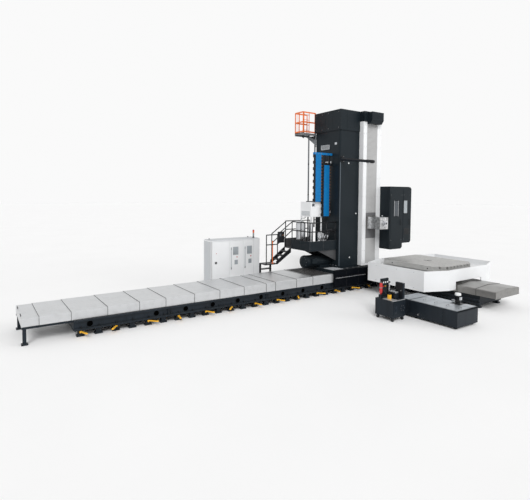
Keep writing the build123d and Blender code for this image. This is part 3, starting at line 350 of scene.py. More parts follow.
def glass(name, colour, glow=(0.03, 0.05, 0.07)):
    """A dark screen with a faint glow that rises and falls with a noise cloud."""
    finish = Finish(name, colour, 0.08, coat=0.6)
    cloud = finish.noise(3.0, 2.0)
    finish.feed("Base Color", finish.mix(cloud, finish.shade(0.7), finish.shade(1.3)))
    # The emission is a faint glow, as of a lit display; on the panes, the window slit and the level
    # glass that wear these finishes it is painted light.
    finish.feed("Emission Color", finish.mix(cloud, (*glow, 1.0), (0.0, 0.0, 0.0, 1.0)))
    finish.shader.inputs["Emission Strength"].default_value = 0.6
    finish.feed("Roughness", 0.05 + cloud * 0.06)
    finish.bump(finish.noise(20, 1.0), 0.01)
    return finish.material


# Mesh work

UP, DOWN = (0, 0, 1), (0, 0, -1)
LEFT, RIGHT = (-1, 0, 0), (1, 0, 0)
NEAR = (0, -1, 0)


def spokes(side, other, sides):
    """Unit vectors evenly spaced in the plane of two others."""
    turns = [2 * math.pi * k / sides for k in range(sides)]
    return [side * math.cos(turn) + other * math.sin(turn) for turn in turns]


def hull(rings, sides):
    """Faces between rings of points that follow one another, and a cap at each end."""
    faces = [(ring * sides + k, ring * sides + (k + 1) % sides,
              (ring + 1) * sides + (k + 1) % sides, (ring + 1) * sides + k)
             for ring in range(rings - 1) for k in range(sides)]
    return faces + [tuple(range(sides)), tuple(range((rings - 1) * sides, rings * sides))]


def circle(centre, axis, radius, count, start=0.0):
    """Places on a circle about a centre, across the axis numbered 0, 1 or 2."""
    places = []
    for k in range(count):
        angle = start + 2 * math.pi * k / count
        out = [radius * math.cos(angle), radius * math.sin(angle)]
        out.insert(axis, 0.0)
        places.append(tuple(a + b for a, b in zip(centre, out)))
    return places


def tunnel(half, top, ridge, foot, fold=0.022):
    """Outline of a cover: an upside down trough with folded shoulders and a ridge."""
    return [(-half, foot), (-half, top - fold), (-half + fold, top), (0, ridge),
            (half - fold, top), (half, top - fold), (half, foot)]


class Piece:
    """Gathers solids in metres in the row frame, and makes one object of them.

    A finish is given by its name in FINISH. Where none is given, the piece's own is used.
    """

    def __init__(self, name, body, slot, finish, edge=0.004, replaces=()):
        self.name = name
        self.body = body
        self.slot = slot
        self.finishes = [finish]
        self.edge = edge
        self.hidden = replaces
        self.mesh = bmesh.new()

    def add(self, points, faces, finish=None, smooth=False):
        finish = finish or self.finishes[0]
        if finish not in self.finishes:
            self.finishes.append(finish)
        number = self.finishes.index(finish)
        made = [self.mesh.verts.new(point) for point in points]
        for face in faces:
            new = self.mesh.faces.new([made[k] for k in face])
            new.material_index = number
            new.smooth = smooth and len(face) == 4

    def block(self, start, end, finish=None, turn=None):
        """A block between two corners, turned about its middle where a matrix is given."""
        low, high = Vector(map(min, start, end)), Vector(map(max, start, end))
        points = [Vector((x, y, z)) for x in (low.x, high.x) for y in (low.y, high.y)
                  for z in (low.z, high.z)]
        if turn:
            middle = (low + high) / 2
            points = [middle + turn @ (point - middle) for point in points]
        self.add(points, [(0, 1, 3, 2), (4, 6, 7, 5), (0, 4, 5, 1), (2, 3, 7, 6), (0, 2, 6, 4),
                          (1, 5, 7, 3)], finish)

    def turned(self, base, axis, profile, sides=24, finish=None):
        """A lathe body: profile is (radius, distance along the axis) from end to end."""
        axis = Vector(axis).normalized()
        side = axis.orthogonal().normalized()
        around = spokes(side, axis.cross(side), sides)
        points = [Vector(base) + axis * along + spoke * radius
                  for radius, along in profile for spoke in around]
        self.add(points, hull(len(profile), sides), finish, smooth=sides > 8)

    def disc(self, base, axis, radius, thick, sides=20, finish=None):
        self.turned(base, axis, [(radius, 0), (radius, thick)], sides, finish)

    def knob(self, base, axis, radius, height, tip, top, sides=20, finish=None):
        """A round post that narrows to its tip from a height up to the top."""
        self.turned(base, axis, [(radius, 0), (radius, height), (tip, top)], sides, finish)

    def band(self, base, axis, radius, proud, wide, sides, finish=None, soft=0.002):
        """A strap round a cylinder, with softened edges."""
        self.turned(base, axis, [(radius, 0), (radius + proud, soft),
                                 (radius + proud, wide - soft), (radius, wide)], sides, finish)

    def tube(self, base, axis, inner, outer, length, sides=28, finish=None):
        """A ring standing on a face, with a softened outer edge."""
        axis = Vector(axis).normalized()
        side = axis.orthogonal().normalized()
        soft = min(length, outer - inner) * 0.3
        profile = [(inner, 0), (outer, 0), (outer, length - soft), (outer - soft, length),
                   (inner, length)]
        points = [Vector(base) + axis * along + spoke * radius
                  for spoke in spokes(side, axis.cross(side), sides)
                  for radius, along in profile]
        count = len(profile)
        faces = []
        for k in range(sides):
            here, there = k * count, (k + 1) % sides * count
            for m in range(count):
                after = (m + 1) % count
                faces.append((here + m, here + after, there + after, there + m))
        self.add(points, faces, finish, smooth=True)

    def rod(self, start, end, radius, sides=14, finish=None):
        start, end = Vector(start), Vector(end)
        length = (end - start).length
        soft = min(radius * 0.18, length * 0.2)
        self.turned(start, end - start, [(radius - soft, 0), (radius, soft),
                                         (radius, length - soft), (radius - soft, length)],
                    sides, finish)

    def pipe(self, route, radius, sides=10, finish=None):
        """A bent tube through the points of a route."""
        route = [Vector(point) for point in route]
        points = []
        side = None
        for k, point in enumerate(route):
            before = route[k] - route[k - 1] if k else route[1] - route[0]
            after = route[k + 1] - route[k] if k + 1 < len(route) else before
            axis = (before.normalized() + after.normalized()).normalized()
            side = axis.orthogonal() if side is None else side - axis * side.dot(axis)
            side.normalize()
            points += [point + spoke * radius for spoke in spokes(side, axis.cross(side), sides)]
        self.add(points, hull(len(route), sides), finish, smooth=True)

    def handle(self, start, end, out, radius, finish=None):
        """A bar handle that stands out from a face between its two feet."""
        start, end, out = Vector(start), Vector(end), Vector(out)
        self.pipe([start, start + out, end + out, end], radius, finish=finish)

    def prism(self, outline, axis, low, high, finish=None):
        """An outline in the plane across an axis, drawn out from low to high along it."""
        points = []
        for along in sorted((low, high)):
            for pair in outline:
                spot = list(pair)
                spot.insert(axis, along)
                points.append(Vector(spot))
        self.add(points, hull(2, len(outline)), finish)

    def channel(self, outer, inner, axis, low, high):
        """A folded strip between two open outlines of equal length."""
        for k in range(len(outer) - 1):
            self.prism([outer[k], outer[k + 1], inner[k + 1], inner[k]], axis, low, high)

    def hexes(self, places, axis, radius, height, finish=None):
        """Hexagon heads on washers, standing on a face along an axis."""
        washer, head = height * 0.18, height * 0.7
        for place in places:
            self.disc(place, axis, radius * 1.35, washer, 12, finish)
            self.knob(Vector(place) + Vector(axis) * washer, axis, radius, head, radius * 0.86,
                      height * 0.82, 6, finish)

    def slats(self, low, high, count, axis, finish=None):
        """Louvre slats between two corners, stacked along z, leaning out against an axis."""
        pitch = (high[2] - low[2]) / count
        across = 1 - axis
        for k in range(count):
            z = low[2] + k * pitch
            self.prism([(high[axis], z + pitch * 0.08), (low[axis], z + pitch * 0.08),
                        (low[axis], z + pitch * 0.2), (high[axis], z + pitch * 0.94)],
                       across, low[across], high[across], finish)

    def fins(self, centre, radius, count, low, high, half, finish=None):
        """Upright cooling fins round a motor, each of that half length."""
        thin = 0.0015
        for k in range(count):
            turn = Matrix.Rotation(2 * math.pi * k / count, 3, "Z")
            spot = Vector(centre) + turn @ Vector((radius, 0, 0))
            self.block((spot.x - half, spot.y - thin, low), (spot.x + half, spot.y + thin, high),
                       finish, turn)

    def build(self):
        """Make the object, bevel its edges and let it ride on its body."""
        bmesh.ops.recalc_face_normals(self.mesh, faces=self.mesh.faces)
        data = bpy.data.meshes.new(self.name)
        self.mesh.to_mesh(data)
        self.mesh.free()
        for finish in self.finishes:
            data.materials.append(FINISH[finish])
        thing = bpy.data.objects.new(self.name, data)
        bpy.context.scene.collection.objects.link(thing)
        if self.edge:
            rounding = thing.modifiers.new("rounding", "BEVEL")
            rounding.width = self.edge
            rounding.segments = 2
            rounding.limit_method = "ANGLE"
            rounding.angle_limit = math.radians(40)
        if self.body:
            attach(thing, self.body)
        if self.hidden:
            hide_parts(*self.hidden)
        return thing


def done(*pieces):
    """Build pieces in turn, and give what an operator returns."""
    for piece in pieces:
        piece.build()
    return {"FINISHED"}


FINISH = {}


def coat(finish, *nodes):
    """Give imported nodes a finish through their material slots."""
    for name in nodes:
        node = frame["nodes"][name]
        if not node.data.materials:
            node.data.materials.append(FINISH[finish])
        for slot in node.material_slots:
            slot.material = FINISH[finish]


# What a user may change

class MillColours(bpy.types.PropertyGroup):
    """Colours of the machine's paints."""
    castings: FloatVectorProperty(name="Castings", description="Paint of the beds and tanks",
                                  subtype="COLOR", size=3, default=(0.012, 0.017, 0.023))
    housing: FloatVectorProperty(name="Housing", description="Paint of column, hoods and magazine",
                                 subtype="COLOR", size=3, default=(0.011, 0.016, 0.020))
    panels: FloatVectorProperty(name="Panels", description="White of frame, skirt and cabinet",
                                subtype="COLOR", size=3, default=(0.78, 0.79, 0.80))
    cage: FloatVectorProperty(name="Guard cage", description="Paint of the ladder cage",
                              subtype="COLOR", size=3, default=(0.75, 0.16, 0.03))
    chains: FloatVectorProperty(name="Energy chains", description="Covers of the energy chains",
                                subtype="COLOR", size=3, default=(0.004, 0.16, 0.42))
    levers: FloatVectorProperty(name="Levers", description="Paint of the levelling levers",
                                subtype="COLOR", size=3, default=(0.92, 0.48, 0.03))


class MillSizes(bpy.types.PropertyGroup):
    """Sizes of the fittings."""
    rail_tube: FloatProperty(name="Railing tube", description="Radius of the railing's tubes",
                             default=0.019, min=0.01, max=0.03, unit="LENGTH")
    bolt: FloatProperty(name="Bolt head", description="Radius of the castings' bolt heads",
                        default=0.019, min=0.01, max=0.03, unit="LENGTH")
    lip: FloatProperty(name="Wiper lip", description="Length of the lip on each cover segment",
                       default=0.009, min=0.005, max=0.02, unit="LENGTH")
    slat_pitch: FloatProperty(name="Slat pitch", default=0.045, min=0.03, max=0.12,
                              description="Height of one slat of the face covers", unit="LENGTH")
    link_pitch: FloatProperty(name="Link pitch", description="Length of one energy chain link",
                              default=0.113, min=0.08, max=0.25, unit="LENGTH")
    lid_count: IntProperty(name="Tank lids", description="Lids along the coolant tank", default=4,
                           min=1, max=8)


# Operators, one for each piece or group of like pieces

class MILL_OT_finishes(bpy.types.Operator):
    """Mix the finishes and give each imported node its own"""
    bl_idname = "mill.finishes"
    bl_label = "Finishes"

    def execute(self, context):
        paint = context.scene.mill_colours
        panels, cage = tuple(paint.panels), tuple(paint.cage)
        cabinet_roof = 1.90
        FINISH.update({
            "casting": casting("casting paint", paint.castings),
            "housing": painted("housing paint", paint.housing, 0.34, dust=0.05, mirror=0.15),
            "black": painted("black paint", (0.009, 0.010, 0.012), 0.4, dust=0.05, mirror=0.25),
            "white": painted("white panels", panels, 0.32, dust=0.15),
            "grey": painted("light grey paint", (0.50, 0.52, 0.54), 0.4),
            # The grey pane's faint grey emission is painted light: a pane is no lamp.
            "pane": glass("grey pane", (0.30, 0.33, 0.35), (0.02, 0.02, 0.02)),
            "cover": brushed("cover sheet", (0.60, 0.61, 0.62), 1, 0.36, 0.16, 0.6),
            "lid": brushed("tank lid sheet", (0.40, 0.43, 0.46), 1, 0.34, 0.2, 0.6),
            "dark_sheet": brushed("dark cover sheet", (0.27, 0.265, 0.255), 0, 0.3, 0.3, 0.7),
            "plate": brushed("ground table", (0.50, 0.495, 0.48), 1, 0.36, 0.3, 0.7),
            "slat": painted("slat paint", (0.42, 0.42, 0.42), 0.34),
            "slat_dark": painted("dark slat paint", (0.13, 0.13, 0.135), 0.34),
            "ram": scraped("scraped ram", (0.74, 0.75, 0.76)),
            "bright": polished("bright steel", (0.66, 0.67, 0.69)),
            "silver": polished("silver tank", (0.62, 0.63, 0.65), 0.26),
            "bolt": brushed("bolt steel", (0.34, 0.34, 0.35), 2, 0.4, 0.2),
            "rubber": moulded("black rubber", (0.018, 0.018, 0.020), 0.62),
            # painted shade: a near-black disc set into each core hole stands in for the hole's dark
            # inside
            "hole_shade": moulded("painted hole shade", (0.001, 0.001, 0.001), 0.95, 0.02),
            "link": moulded("link plastic", (0.012, 0.011, 0.011), 0.5, 0.2),
            "clip": moulded("brown clip", (0.20, 0.09, 0.04), 0.5),
            "apron": painted("apron paint", (0.003, 0.004, 0.006), 0.45, dust=0.02, mirror=0.05),
            # painted highlight: a lighter strip that stands in for light caught on the column's
            # near corner
            "sheen": painted("painted corner highlight", (0.075, 0.095, 0.115), 0.3),
            "chain": moulded("blue chain cover", tuple(paint.chains), 0.4, 0.2),
            "orange": painted("cage paint", cage, 0.34, dust=0.08),
            "lever": painted("lever paint", tuple(paint.levers), 0.36, dust=0.08),
            "red": painted("red vessel", (0.50, 0.025, 0.025), 0.25),
            "lamp": moulded("orange lens", (0.85, 0.16, 0.02), 0.2),
            "screen": glass("screen glass", (0.016, 0.020, 0.026)),
            "deck": tread_plate("tread plate", (0.035, 0.037, 0.042)),
            "hose": moulded("hose rubber", (0.022, 0.022, 0.026), 0.48),
            "ladder": painted("ladder and cage paint", (0.16, 0.17, 0.18), 0.4,
                              second=(2, CAGE_FLOOR, cage)),
            "cabinet": painted("cabinet paint", panels, 0.34, dust=0.2,
                               second=(2, cabinet_roof, (0.22, 0.23, 0.24))),
        })
        coat("casting", "bed", "table_bed", "cover_end_frames", "levelling_wedges",
             "table_saddle", "coolant_tank", "hydraulic_unit")
        coat("housing", "saddle", "column", "column_hood", "tool_magazine", "column_drive")
        coat("apron", "saddle_apron")
        coat("black", "platform_railing", "platform_stair", "light_boom", "coolant_pump")
        coat("deck", "service_platform")
        coat("white", "front_frame", "table_skirt", "cooler", *CABINET_DOORS)
        coat("cabinet", "electrical_cabinet")
        coat("ladder", "caged_ladder")
        coat("cover", *LEFT_COVERS, *RIGHT_COVERS)
        coat("dark_sheet", *NEAR_COVERS, *FAR_COVERS)
        coat("plate", "turning_table")
        coat("slat", "upper_face_cover", "lower_face_cover")
        coat("slat_dark", "headstock")
        coat("ram", "ram")
        coat("bright", "spindle")
        coat("silver", "platform_tanks", "pump_group")
        coat("chain", "energy_chains")
        coat("red", "pressure_vessel")
        return {"FINISHED"}


class MILL_OT_bed_fittings(bpy.types.Operator):
    """Joint flanges, core hole rims, anchor bolts and levelling levers of the beds"""
    bl_idname = "mill.bed_fittings"
    bl_label = "Bed fittings"

    def execute(self, context):
        bolt = context.scene.mill_sizes.bolt
        joints = Piece("bed_joint_flanges", "foundation", "bed_blue", "casting", 0.005)
        rims = Piece("core_hole_rims", "foundation", "bed_blue", "casting", 0)
        bolts = Piece("bed_bolts", "foundation", "bed_blue", "black", 0)
        levers = Piece("levelling_levers", "foundation", "lever_yellow", "lever", 0.002)

        pitch = 0.436  # from anchor bolt to anchor bolt
        count = int((BED_HIGH.x - BED_LOW.x - 0.19) / pitch) + 1
        first = (BED_LOW.x + BED_HIGH.x - (count - 1) * pitch) / 2
        places = [first + k * pitch for k in range(count)]
        foot, foot_top, bolt_high = 0.05, 0.213, 0.034
        for side in (-1, 1):
            out = (0, side, 0)
            face = BED_HIGH.y - foot if side > 0 else BED_LOW.y + foot
            self.joint_flanges(joints, bolts, face, side, foot_top, bolt * 0.7)
            for k in range(count // 2):
                if k == 1:
                    continue  # the photo shows no hole at the second place
                x, z, hole = first + pitch * (0.5 + 2 * k), 0.299, 0.074
                # A near-black disc 9 mm inside each rim: painted shade for the core hole's dark
                # inside.
                rims.disc((x, face - side * 0.009, z), out, hole, 0.003, 28, "hole_shade")
                rims.tube((x, face, z), out, hole, hole + 0.012, 0.010)
            y = face + side * 0.026
            bolts.hexes([(x, y, foot_top) for x in places], UP, bolt, bolt_high)
            for x in places:
                bolts.knob((x, y, 0.24), UP, 0.010, bolt_high, 0.008, 0.037, 10)
        self.levers(levers, places[::2])
        self.table_bed(rims, bolts, bolt, bolt_high)
        return done(joints, rims, bolts, levers)

    @staticmethod
    def joint_flanges(joints, bolts, face, side, low, bolt):
        """A bolted flange on both castings where they meet."""
        thick, half = 0.034, 0.028
        for seam in (-9.484, -6.144, -2.804):
            for x in (seam - 0.035, seam + 0.035):
                joints.block((x - half, face, low), (x + half, face + side * thick, 0.385))
                bolts.hexes([(x, face + side * thick, z) for z in (0.25, 0.30, 0.35)],
                            (0, side, 0), bolt, 0.014)

    @staticmethod
    def levers(levers, places):
        """Yellow levers, each turned another way, on every second wedge of the long bed."""
        y, clear = 1.65, 1.0  # the table bed stands within this of x = 0
        half = Vector((0.024, 0.16, 0.012))
        for k, x in enumerate(places):
            if abs(x) < clear:
                continue
            angle = math.radians((18, -34, 42, -12, 28, -40, 8)[k % 7])
            turn = Matrix.Rotation(angle, 3, "Z")
            middle = Vector((x, y, 0.132)) + turn @ Vector((0, -0.13, 0))
            levers.block(middle - half, middle + half, turn=turn)
            levers.knob(middle + turn @ Vector((0, -0.135, 0.012)), UP, 0.018, 0.008, 0.012,
                        0.012, 12)
            levers.knob((x, y, 0.095), UP, 0.030, 0.05, 0.022, 0.056, 18)

    @staticmethod
    def table_bed(rims, bolts, bolt, bolt_high):
        """Anchor bolts along the table bed's feet, with a core hole between each two, its dark
        inside a black disc of painted shade.
        """
        low, high = box("table_bed")
        count, inset, foot_top = 8, 0.095, 0.155
        wall, z, hole = 0.64, 0.335, 0.030
        step = (high.y - low.y - 2 * inset) / (count - 1)
        for side in (-1, 1):
            bolts.hexes([(side * (high.x - 0.025), low.y + inset + k * step, foot_top)
                         for k in range(count)], UP, bolt, bolt_high)
            for k in range(count - 1):
                centre, out = (side * wall, low.y + inset + (k + 0.5) * step, z), (side, 0, 0)
                # The black disc is painted shade for the core hole's dark inside.
                rims.disc(centre, out, hole, 0.002, finish="black")
                rims.tube(centre, out, hole, hole + 0.014, 0.008, 20)


class MILL_OT_cover_lips(bpy.types.Operator):
    """Lips and ends of the sliding covers, handles on the outer ones, mat on the widest"""
    bl_idname = "mill.cover_lips"
    bl_label = "Cover lips"

    def execute(self, context):
        lip = context.scene.mill_sizes.lip
        for nodes, axis, way, drop in ((LEFT_COVERS, 0, -1, 0), (RIGHT_COVERS, 0, 1, 0),
                                       (NEAR_COVERS, 1, -1, TABLE_RIDGE),
                                       (FAR_COVERS, 1, 1, TABLE_RIDGE)):
            for node in nodes[1:]:
                self.strip(node, axis, way * lip, drop)
        return done(self.closing(), self.mat(), self.handles())

    @staticmethod
    def strip(node, axis, length, drop):
        """A wiper lip along the outer edge of a cover that rides on its own body."""
        low, high = box(node)
        across = 1 - axis
        middle = (low[across] + high[across]) / 2
        half = (high[across] - low[across]) / 2
        foot, thick = low.z + 0.002, 0.0065
        outer = tunnel(half, high.z - drop, high.z, foot)
        inner = tunnel(half - thick, high.z - drop - thick, high.z - thick, foot, 0.020)
        outer, inner = [[(middle + a, z) for a, z in line] for line in (outer, inner)]
        edge = low[axis] if length < 0 else high[axis]
        piece = Piece(f"{node}_lip", OWNER[node], "rubber", "rubber", 0.001)
        piece.channel(outer, inner, axis, edge, edge + length)
        piece.build()

    @staticmethod
    def closing():
        """The plate that closes the near end of the table's covers."""
        low, high = box(NEAR_COVERS[0])
        play, half = 0.004, 0.003
        plate = Piece("table_cover_end", "foundation", "dark_steel", "dark_sheet", 0.001)
        plate.prism(tunnel(high.x - play, high.z - TABLE_RIDGE - play, high.z - play, low.z), 1,
                    low.y - half, low.y + half)
        return plate

    @staticmethod
    def mat():
        low, high = box(LEFT_COVERS[-1])
        mat = Piece("cover_mat", "column", "rubber", "rubber", 0.002)
        mat.block((low.x + 0.04, BED_Y - 0.74, high.z),
                  (high.x - 0.04, BED_Y + 0.74, high.z + 0.004))
        for k in range(24):
            x = low.x + 0.06 + k * 0.037
            mat.block((x, BED_Y - 0.73, high.z + 0.003), (x + 0.012, BED_Y + 0.73, high.z + 0.007))
        return mat

    @staticmethod
    def handles():
        handles = Piece("cover_end_handles", "foundation", "black_paint", "black", 0)
        inward = 0.012  # clear of the next cover's lip when the covers are folded up
        places = ((box(LEFT_COVERS[0])[0].x + inward, box(LEFT_COVERS[0])[1].z),
                  (box(RIGHT_COVERS[0])[1].x - inward, box(RIGHT_COVERS[0])[1].z))
        for x, z in places:
            for y in (BED_Y - 0.4, BED_Y + 0.4):
                handles.handle((x, y - 0.08, z), (x, y + 0.08, z), (0, 0, 0.03), 0.007)
        return handles


class MILL_OT_saddle(bpy.types.Operator):
    """Apron seams and the chain in its pocket, saddle plates, way wipers and bolts"""
    bl_idname = "mill.saddle"
    bl_label = "Saddle fittings"

    def execute(self, context):
        low, high = box("saddle_apron")
        face = low.y
        bar = Piece("apron_fittings", "column", "charcoal", "apron", 0.003)
        bar.block((low.x + 0.01, face - 0.012, high.z - 0.05),
                  (high.x - 0.01, face, high.z - 0.012))
        bar.block((low.x + 0.03, face - 0.008, 0.27), (low.x + 0.05, face, 0.80))
        panels = 5
        for k in range(1, panels):
            x = low.x + k * (high.x - low.x) / panels
            bar.block((x - 0.004, face - 0.006, 0.26), (x + 0.004, face, 0.80), "rubber")
        for foot, top in ((0.535, 0.549), (0.640, 0.650)):  # lips of the chain's pocket
            bar.block((-3.25, face - 0.016, foot), (-1.66, face, top))

        chain = Piece("apron_chain", "column", "chrome", "bright", 0.002)
        count, start, length, link = 26, -3.235, 1.55, 0.068
        for k in range(count):
            x = start + k * length / count
            if k % 2:
                chain.block((x, face - 0.012, 0.571), (x + link, face - 0.003, 0.612))
            else:
                chain.block((x, face - 0.019, 0.576), (x + link, face - 0.011, 0.607))
            chain.knob((x + 0.008, face, 0.5915), NEAR, 0.010, 0.021, 0.007, 0.023, 12)

        low, high = box("saddle")
        wipers = Piece("saddle_wipers", "column", "rubber", "rubber", 0.003)
        bolts = Piece("saddle_bolts", "column", "charcoal", "bolt", 0)
        plates = Piece("saddle_top_plates", "column", "light_grey", "grey", 0.004)
        for left, right in ((low.x + 0.03, -3.02), (-3.0, COLUMN_LOW.x - 0.02)):
            for near, far in ((low.y + 0.04, low.y + 0.55), (high.y - 0.42, high.y - 0.04)):
                plates.block((left, near, high.z), (right, far, high.z + 0.012))
        for y in (low.y + 0.02, high.y - 0.05):
            wipers.block((low.x + 0.02, y, high.z), (high.x - 0.02, y + 0.03, high.z + 0.008))
        places = [(low.x + 0.16 + k * 0.31, y, high.z) for k in range(10)
                  for y in (low.y + 0.09, high.y - 0.11)]
        bolts.hexes([place for place in places if not self.under_column(*place[:2])],
                    UP, 0.022, 0.03)
        return done(bar, chain, wipers, bolts, plates)

    @staticmethod
    def under_column(x, y):
        return (COLUMN_LOW.x - 0.03 < x < COLUMN_HIGH.x + 0.03
                and COLUMN_LOW.y - 0.05 <= y <= 3.3)


class MILL_OT_column(bpy.types.Operator):
    """Seams, grille, plates, lifting plugs and foot bolts of the column and its hoods"""
    bl_idname = "mill.column"
    bl_label = "Column fittings"

    def execute(self, context):
        return done(self.hood_skirt(), *self.foot(), self.panels(), self.grille(),
                    *self.hood())

    @staticmethod
    def foot():
        bolts = Piece("column_foot_bolts", "column", "charcoal", "bolt", 0)
        flange = Piece("column_foot", "column", "charcoal", "housing", 0.006)
        left, near, z = COLUMN_LOW
        far, top = COLUMN_HIGH.y, z + 0.07
        flange.block((left - 0.06, near + 0.05, z), (left, far - 0.02, top))
        flange.block((left + 0.06, far, z), (COLUMN_HIGH.x - 0.05, far + 0.02, top))
        bolts.hexes([(left - 0.03, near + 0.12 + k * 0.15, top) for k in range(8)],
                    UP, 0.019, 0.03)
        return bolts, flange

    @staticmethod
    def panels():
        """Screwed plates on the column's left side, and a painted highlight strip on its near
        corner.
        """
        plates = Piece("column_panels", "column", "charcoal", "housing", 0.004)
        left, near, far = COLUMN_LOW.x, COLUMN_LOW.y, COLUMN_HIGH.y
        for proud, end, foot, top in ((0.008, far - 0.05, 3.45, 4.62), (0.008, 2.33, 4.70, 5.92),
                                      (0.006, 2.60, 1.98, 3.38)):
            plates.block((left - proud, near + 0.07, foot), (left, end, top))
        # A lighter strip on the near-left corner: a painted highlight where light catches the edge.
        plates.block((left - 0.002, near - 0.004, 0.95), (left + 0.03, near, 4.86), "sheen")
        return plates

    @staticmethod
    def grille():
        """The slatted vent in its frame, two plates above and below it, and a plug."""
        grille = Piece("column_grille", "column", "light_grey", "grey", 0.002)
        left, near, far, foot, top, bar = COLUMN_LOW.x, 2.482, 2.951, 5.338, 5.513, 0.012
        # A black plate behind the slats: painted shade for the vent's dark inside.
        grille.block((left - 0.014, near, foot), (left - 0.008, far, top), "black")
        for y in (near, far - 0.010):
            grille.block((left - 0.022, y, foot), (left - 0.006, y + bar, top))
        for z in (foot, top - 0.010):
            grille.block((left - 0.022, near, z), (left - 0.006, far + 0.002, z + bar))
        grille.slats((left - 0.022, near + bar, foot + bar),
                     (left - 0.010, far - 0.010, top - 0.010), 8, 0)
        grille.block((left - 0.012, 2.09, 5.49), (left, 2.20, 5.57))
        grille.block((left - 0.016, 2.379, 4.78), (left - 0.004, 2.712, 4.88))
        grille.knob((left, 2.464, 2.951), LEFT, 0.07, 0.03, 0.055, 0.045, 24)
        return grille

    @staticmethod
    def hood_skirt():
        """The dark skirt round the front frame's top, open over the face cover's slot."""
        skirt = Piece("front_hood_skirt", "column", "charcoal", "housing", 0.004)
        slot_low, slot_high = box("upper_face_cover")
        left, right, face, top = FRAME_LOW.x, FRAME_HIGH.x, FRAME_LOW.y, FRAME_HIGH.z + 0.002
        foot, near, plate = 6.40, FRAME_LOW.y - 0.03, 0.008
        skirt.block((left - plate, near, foot), (left, COLUMN_LOW.y - 0.03, FRAME_HIGH.z + 0.02))
        skirt.block((left - plate, near, foot), (slot_low.x - 0.006, face, top))
        skirt.block((slot_high.x + 0.066, near, foot), (right + plate, face, top))
        skirt.block((right, near, foot), (right + plate, COLUMN_LOW.y, top))
        return skirt

    @staticmethod
    def hood():
        """Seams, vents and screws of the top hood, and the plugs of the column's front."""
        seams = Piece("hood_seams", "column", "charcoal", "housing", 0.003)
        low, high = box("column_hood")
        near, far = COLUMN_LOW.y, COLUMN_HIGH.y
        foot, top = low.z + 0.02, high.z - 0.02
        for y in (2.30, 2.72):
            seams.block((low.x - 0.004, y, foot), (low.x, y + 0.03, top))
        for start, end in ((low.z, low.z + 0.035), (high.z - 0.035, high.z - 0.004)):
            seams.block((low.x - 0.005, near, start), (low.x, high.y, end))
        for x in (-2.4, -2.05):
            seams.block((x, near - 0.034, foot), (x + 0.03, near - 0.030, top))
        for k in range(6):
            z = 6.50 + k * 0.03
            seams.block((SPINDLE_X - 0.24, low.y - 0.003, z), (SPINDLE_X + 0.26, low.y, z + 0.015))
        plugs = Piece("column_plugs", "column", "white_paint", "white", 0)
        for x, z in ((-2.274, 4.802), (-2.16, 1.224), (-1.85, 2.9)):
            plugs.knob((x, near, z), NEAR, 0.028, 0.006, 0.02, 0.010)
        screws = Piece("hood_screws", "column", "charcoal", "bolt", 0)
        screws.hexes([(low.x, y, z) for y in (near + 0.08, 2.55, 2.9, far - 0.06)
                      for z in (low.z + 0.09, high.z - 0.09)], LEFT, 0.010, 0.008)
        return seams, plugs, screws


class MILL_OT_front(bpy.types.Operator):
    """Cover strips of the white front frame, and the slatted face covers of the head's slot"""
    bl_idname = "mill.front"
    bl_label = "Front frame and face covers"

    def execute(self, context):
        left, right, face = FRAME_LOW.x, FRAME_HIGH.x, FRAME_LOW.y
        edges = [FRAME_LOW.z + 0.02, 1.9, 3.0, 4.2, 5.4, 6.39]
        proud, inset, slot = 0.005, 0.008, 0.30  # slot: from the spindle's axis to the strips
        trim = Piece("front_frame_strips", "column", "white_paint", "white", 0.003)
        for low, edge in zip(edges, edges[1:]):
            high = edge - inset
            trim.block((left - proud, face + 0.012, low), (left, COLUMN_LOW.y - 0.012, high))
            trim.block((left + inset, face - proud, low), (SPINDLE_X - slot, face, high))
            trim.block((SPINDLE_X + slot, face - proud, low), (right - inset, face, high))
        screws = Piece("front_frame_screws", "column", "white_paint", "bolt", 0)
        rows = (left + 0.03, SPINDLE_X - slot - 0.02, SPINDLE_X + slot + 0.02, right - 0.03)
        screws.hexes([(x, face - proud, z + rise) for x in rows for z in edges[:-1]
                      for rise in (0.06, 0.55)], NEAR, 0.007, 0.006)
        done(trim, screws)
        pitch = context.scene.mill_sizes.slat_pitch
        self.face_cover("upper_slats", "upper_face_cover", pitch, fixed=1)
        self.face_cover("lower_slats", "lower_face_cover", pitch, fixed=0)
        return {"FINISHED"}

    @staticmethod
    def face_cover(name, node, pitch, fixed):
        """Fixed slats between the column's end of the slot and the head, built in place of the
        node.
        """
        low, high = box(node)
        cover = Piece(name, None, "louvre", "slat", 0, replaces=(node,))
        count = round((high.z - low.z) / pitch)
        step = (high.z - low.z) / count
        back, front = high.y, FRAME_LOW.y + 0.004
        for k in range(count):
            z, lean = low.z + k * step, front + 0.010
            cover.prism([(back, z), (lean, z), (front, z + step * 0.16), (lean, z + step * 0.94),
                         (back, z + step * 0.94)], 0, low.x, high.x)
        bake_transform(cover.build())


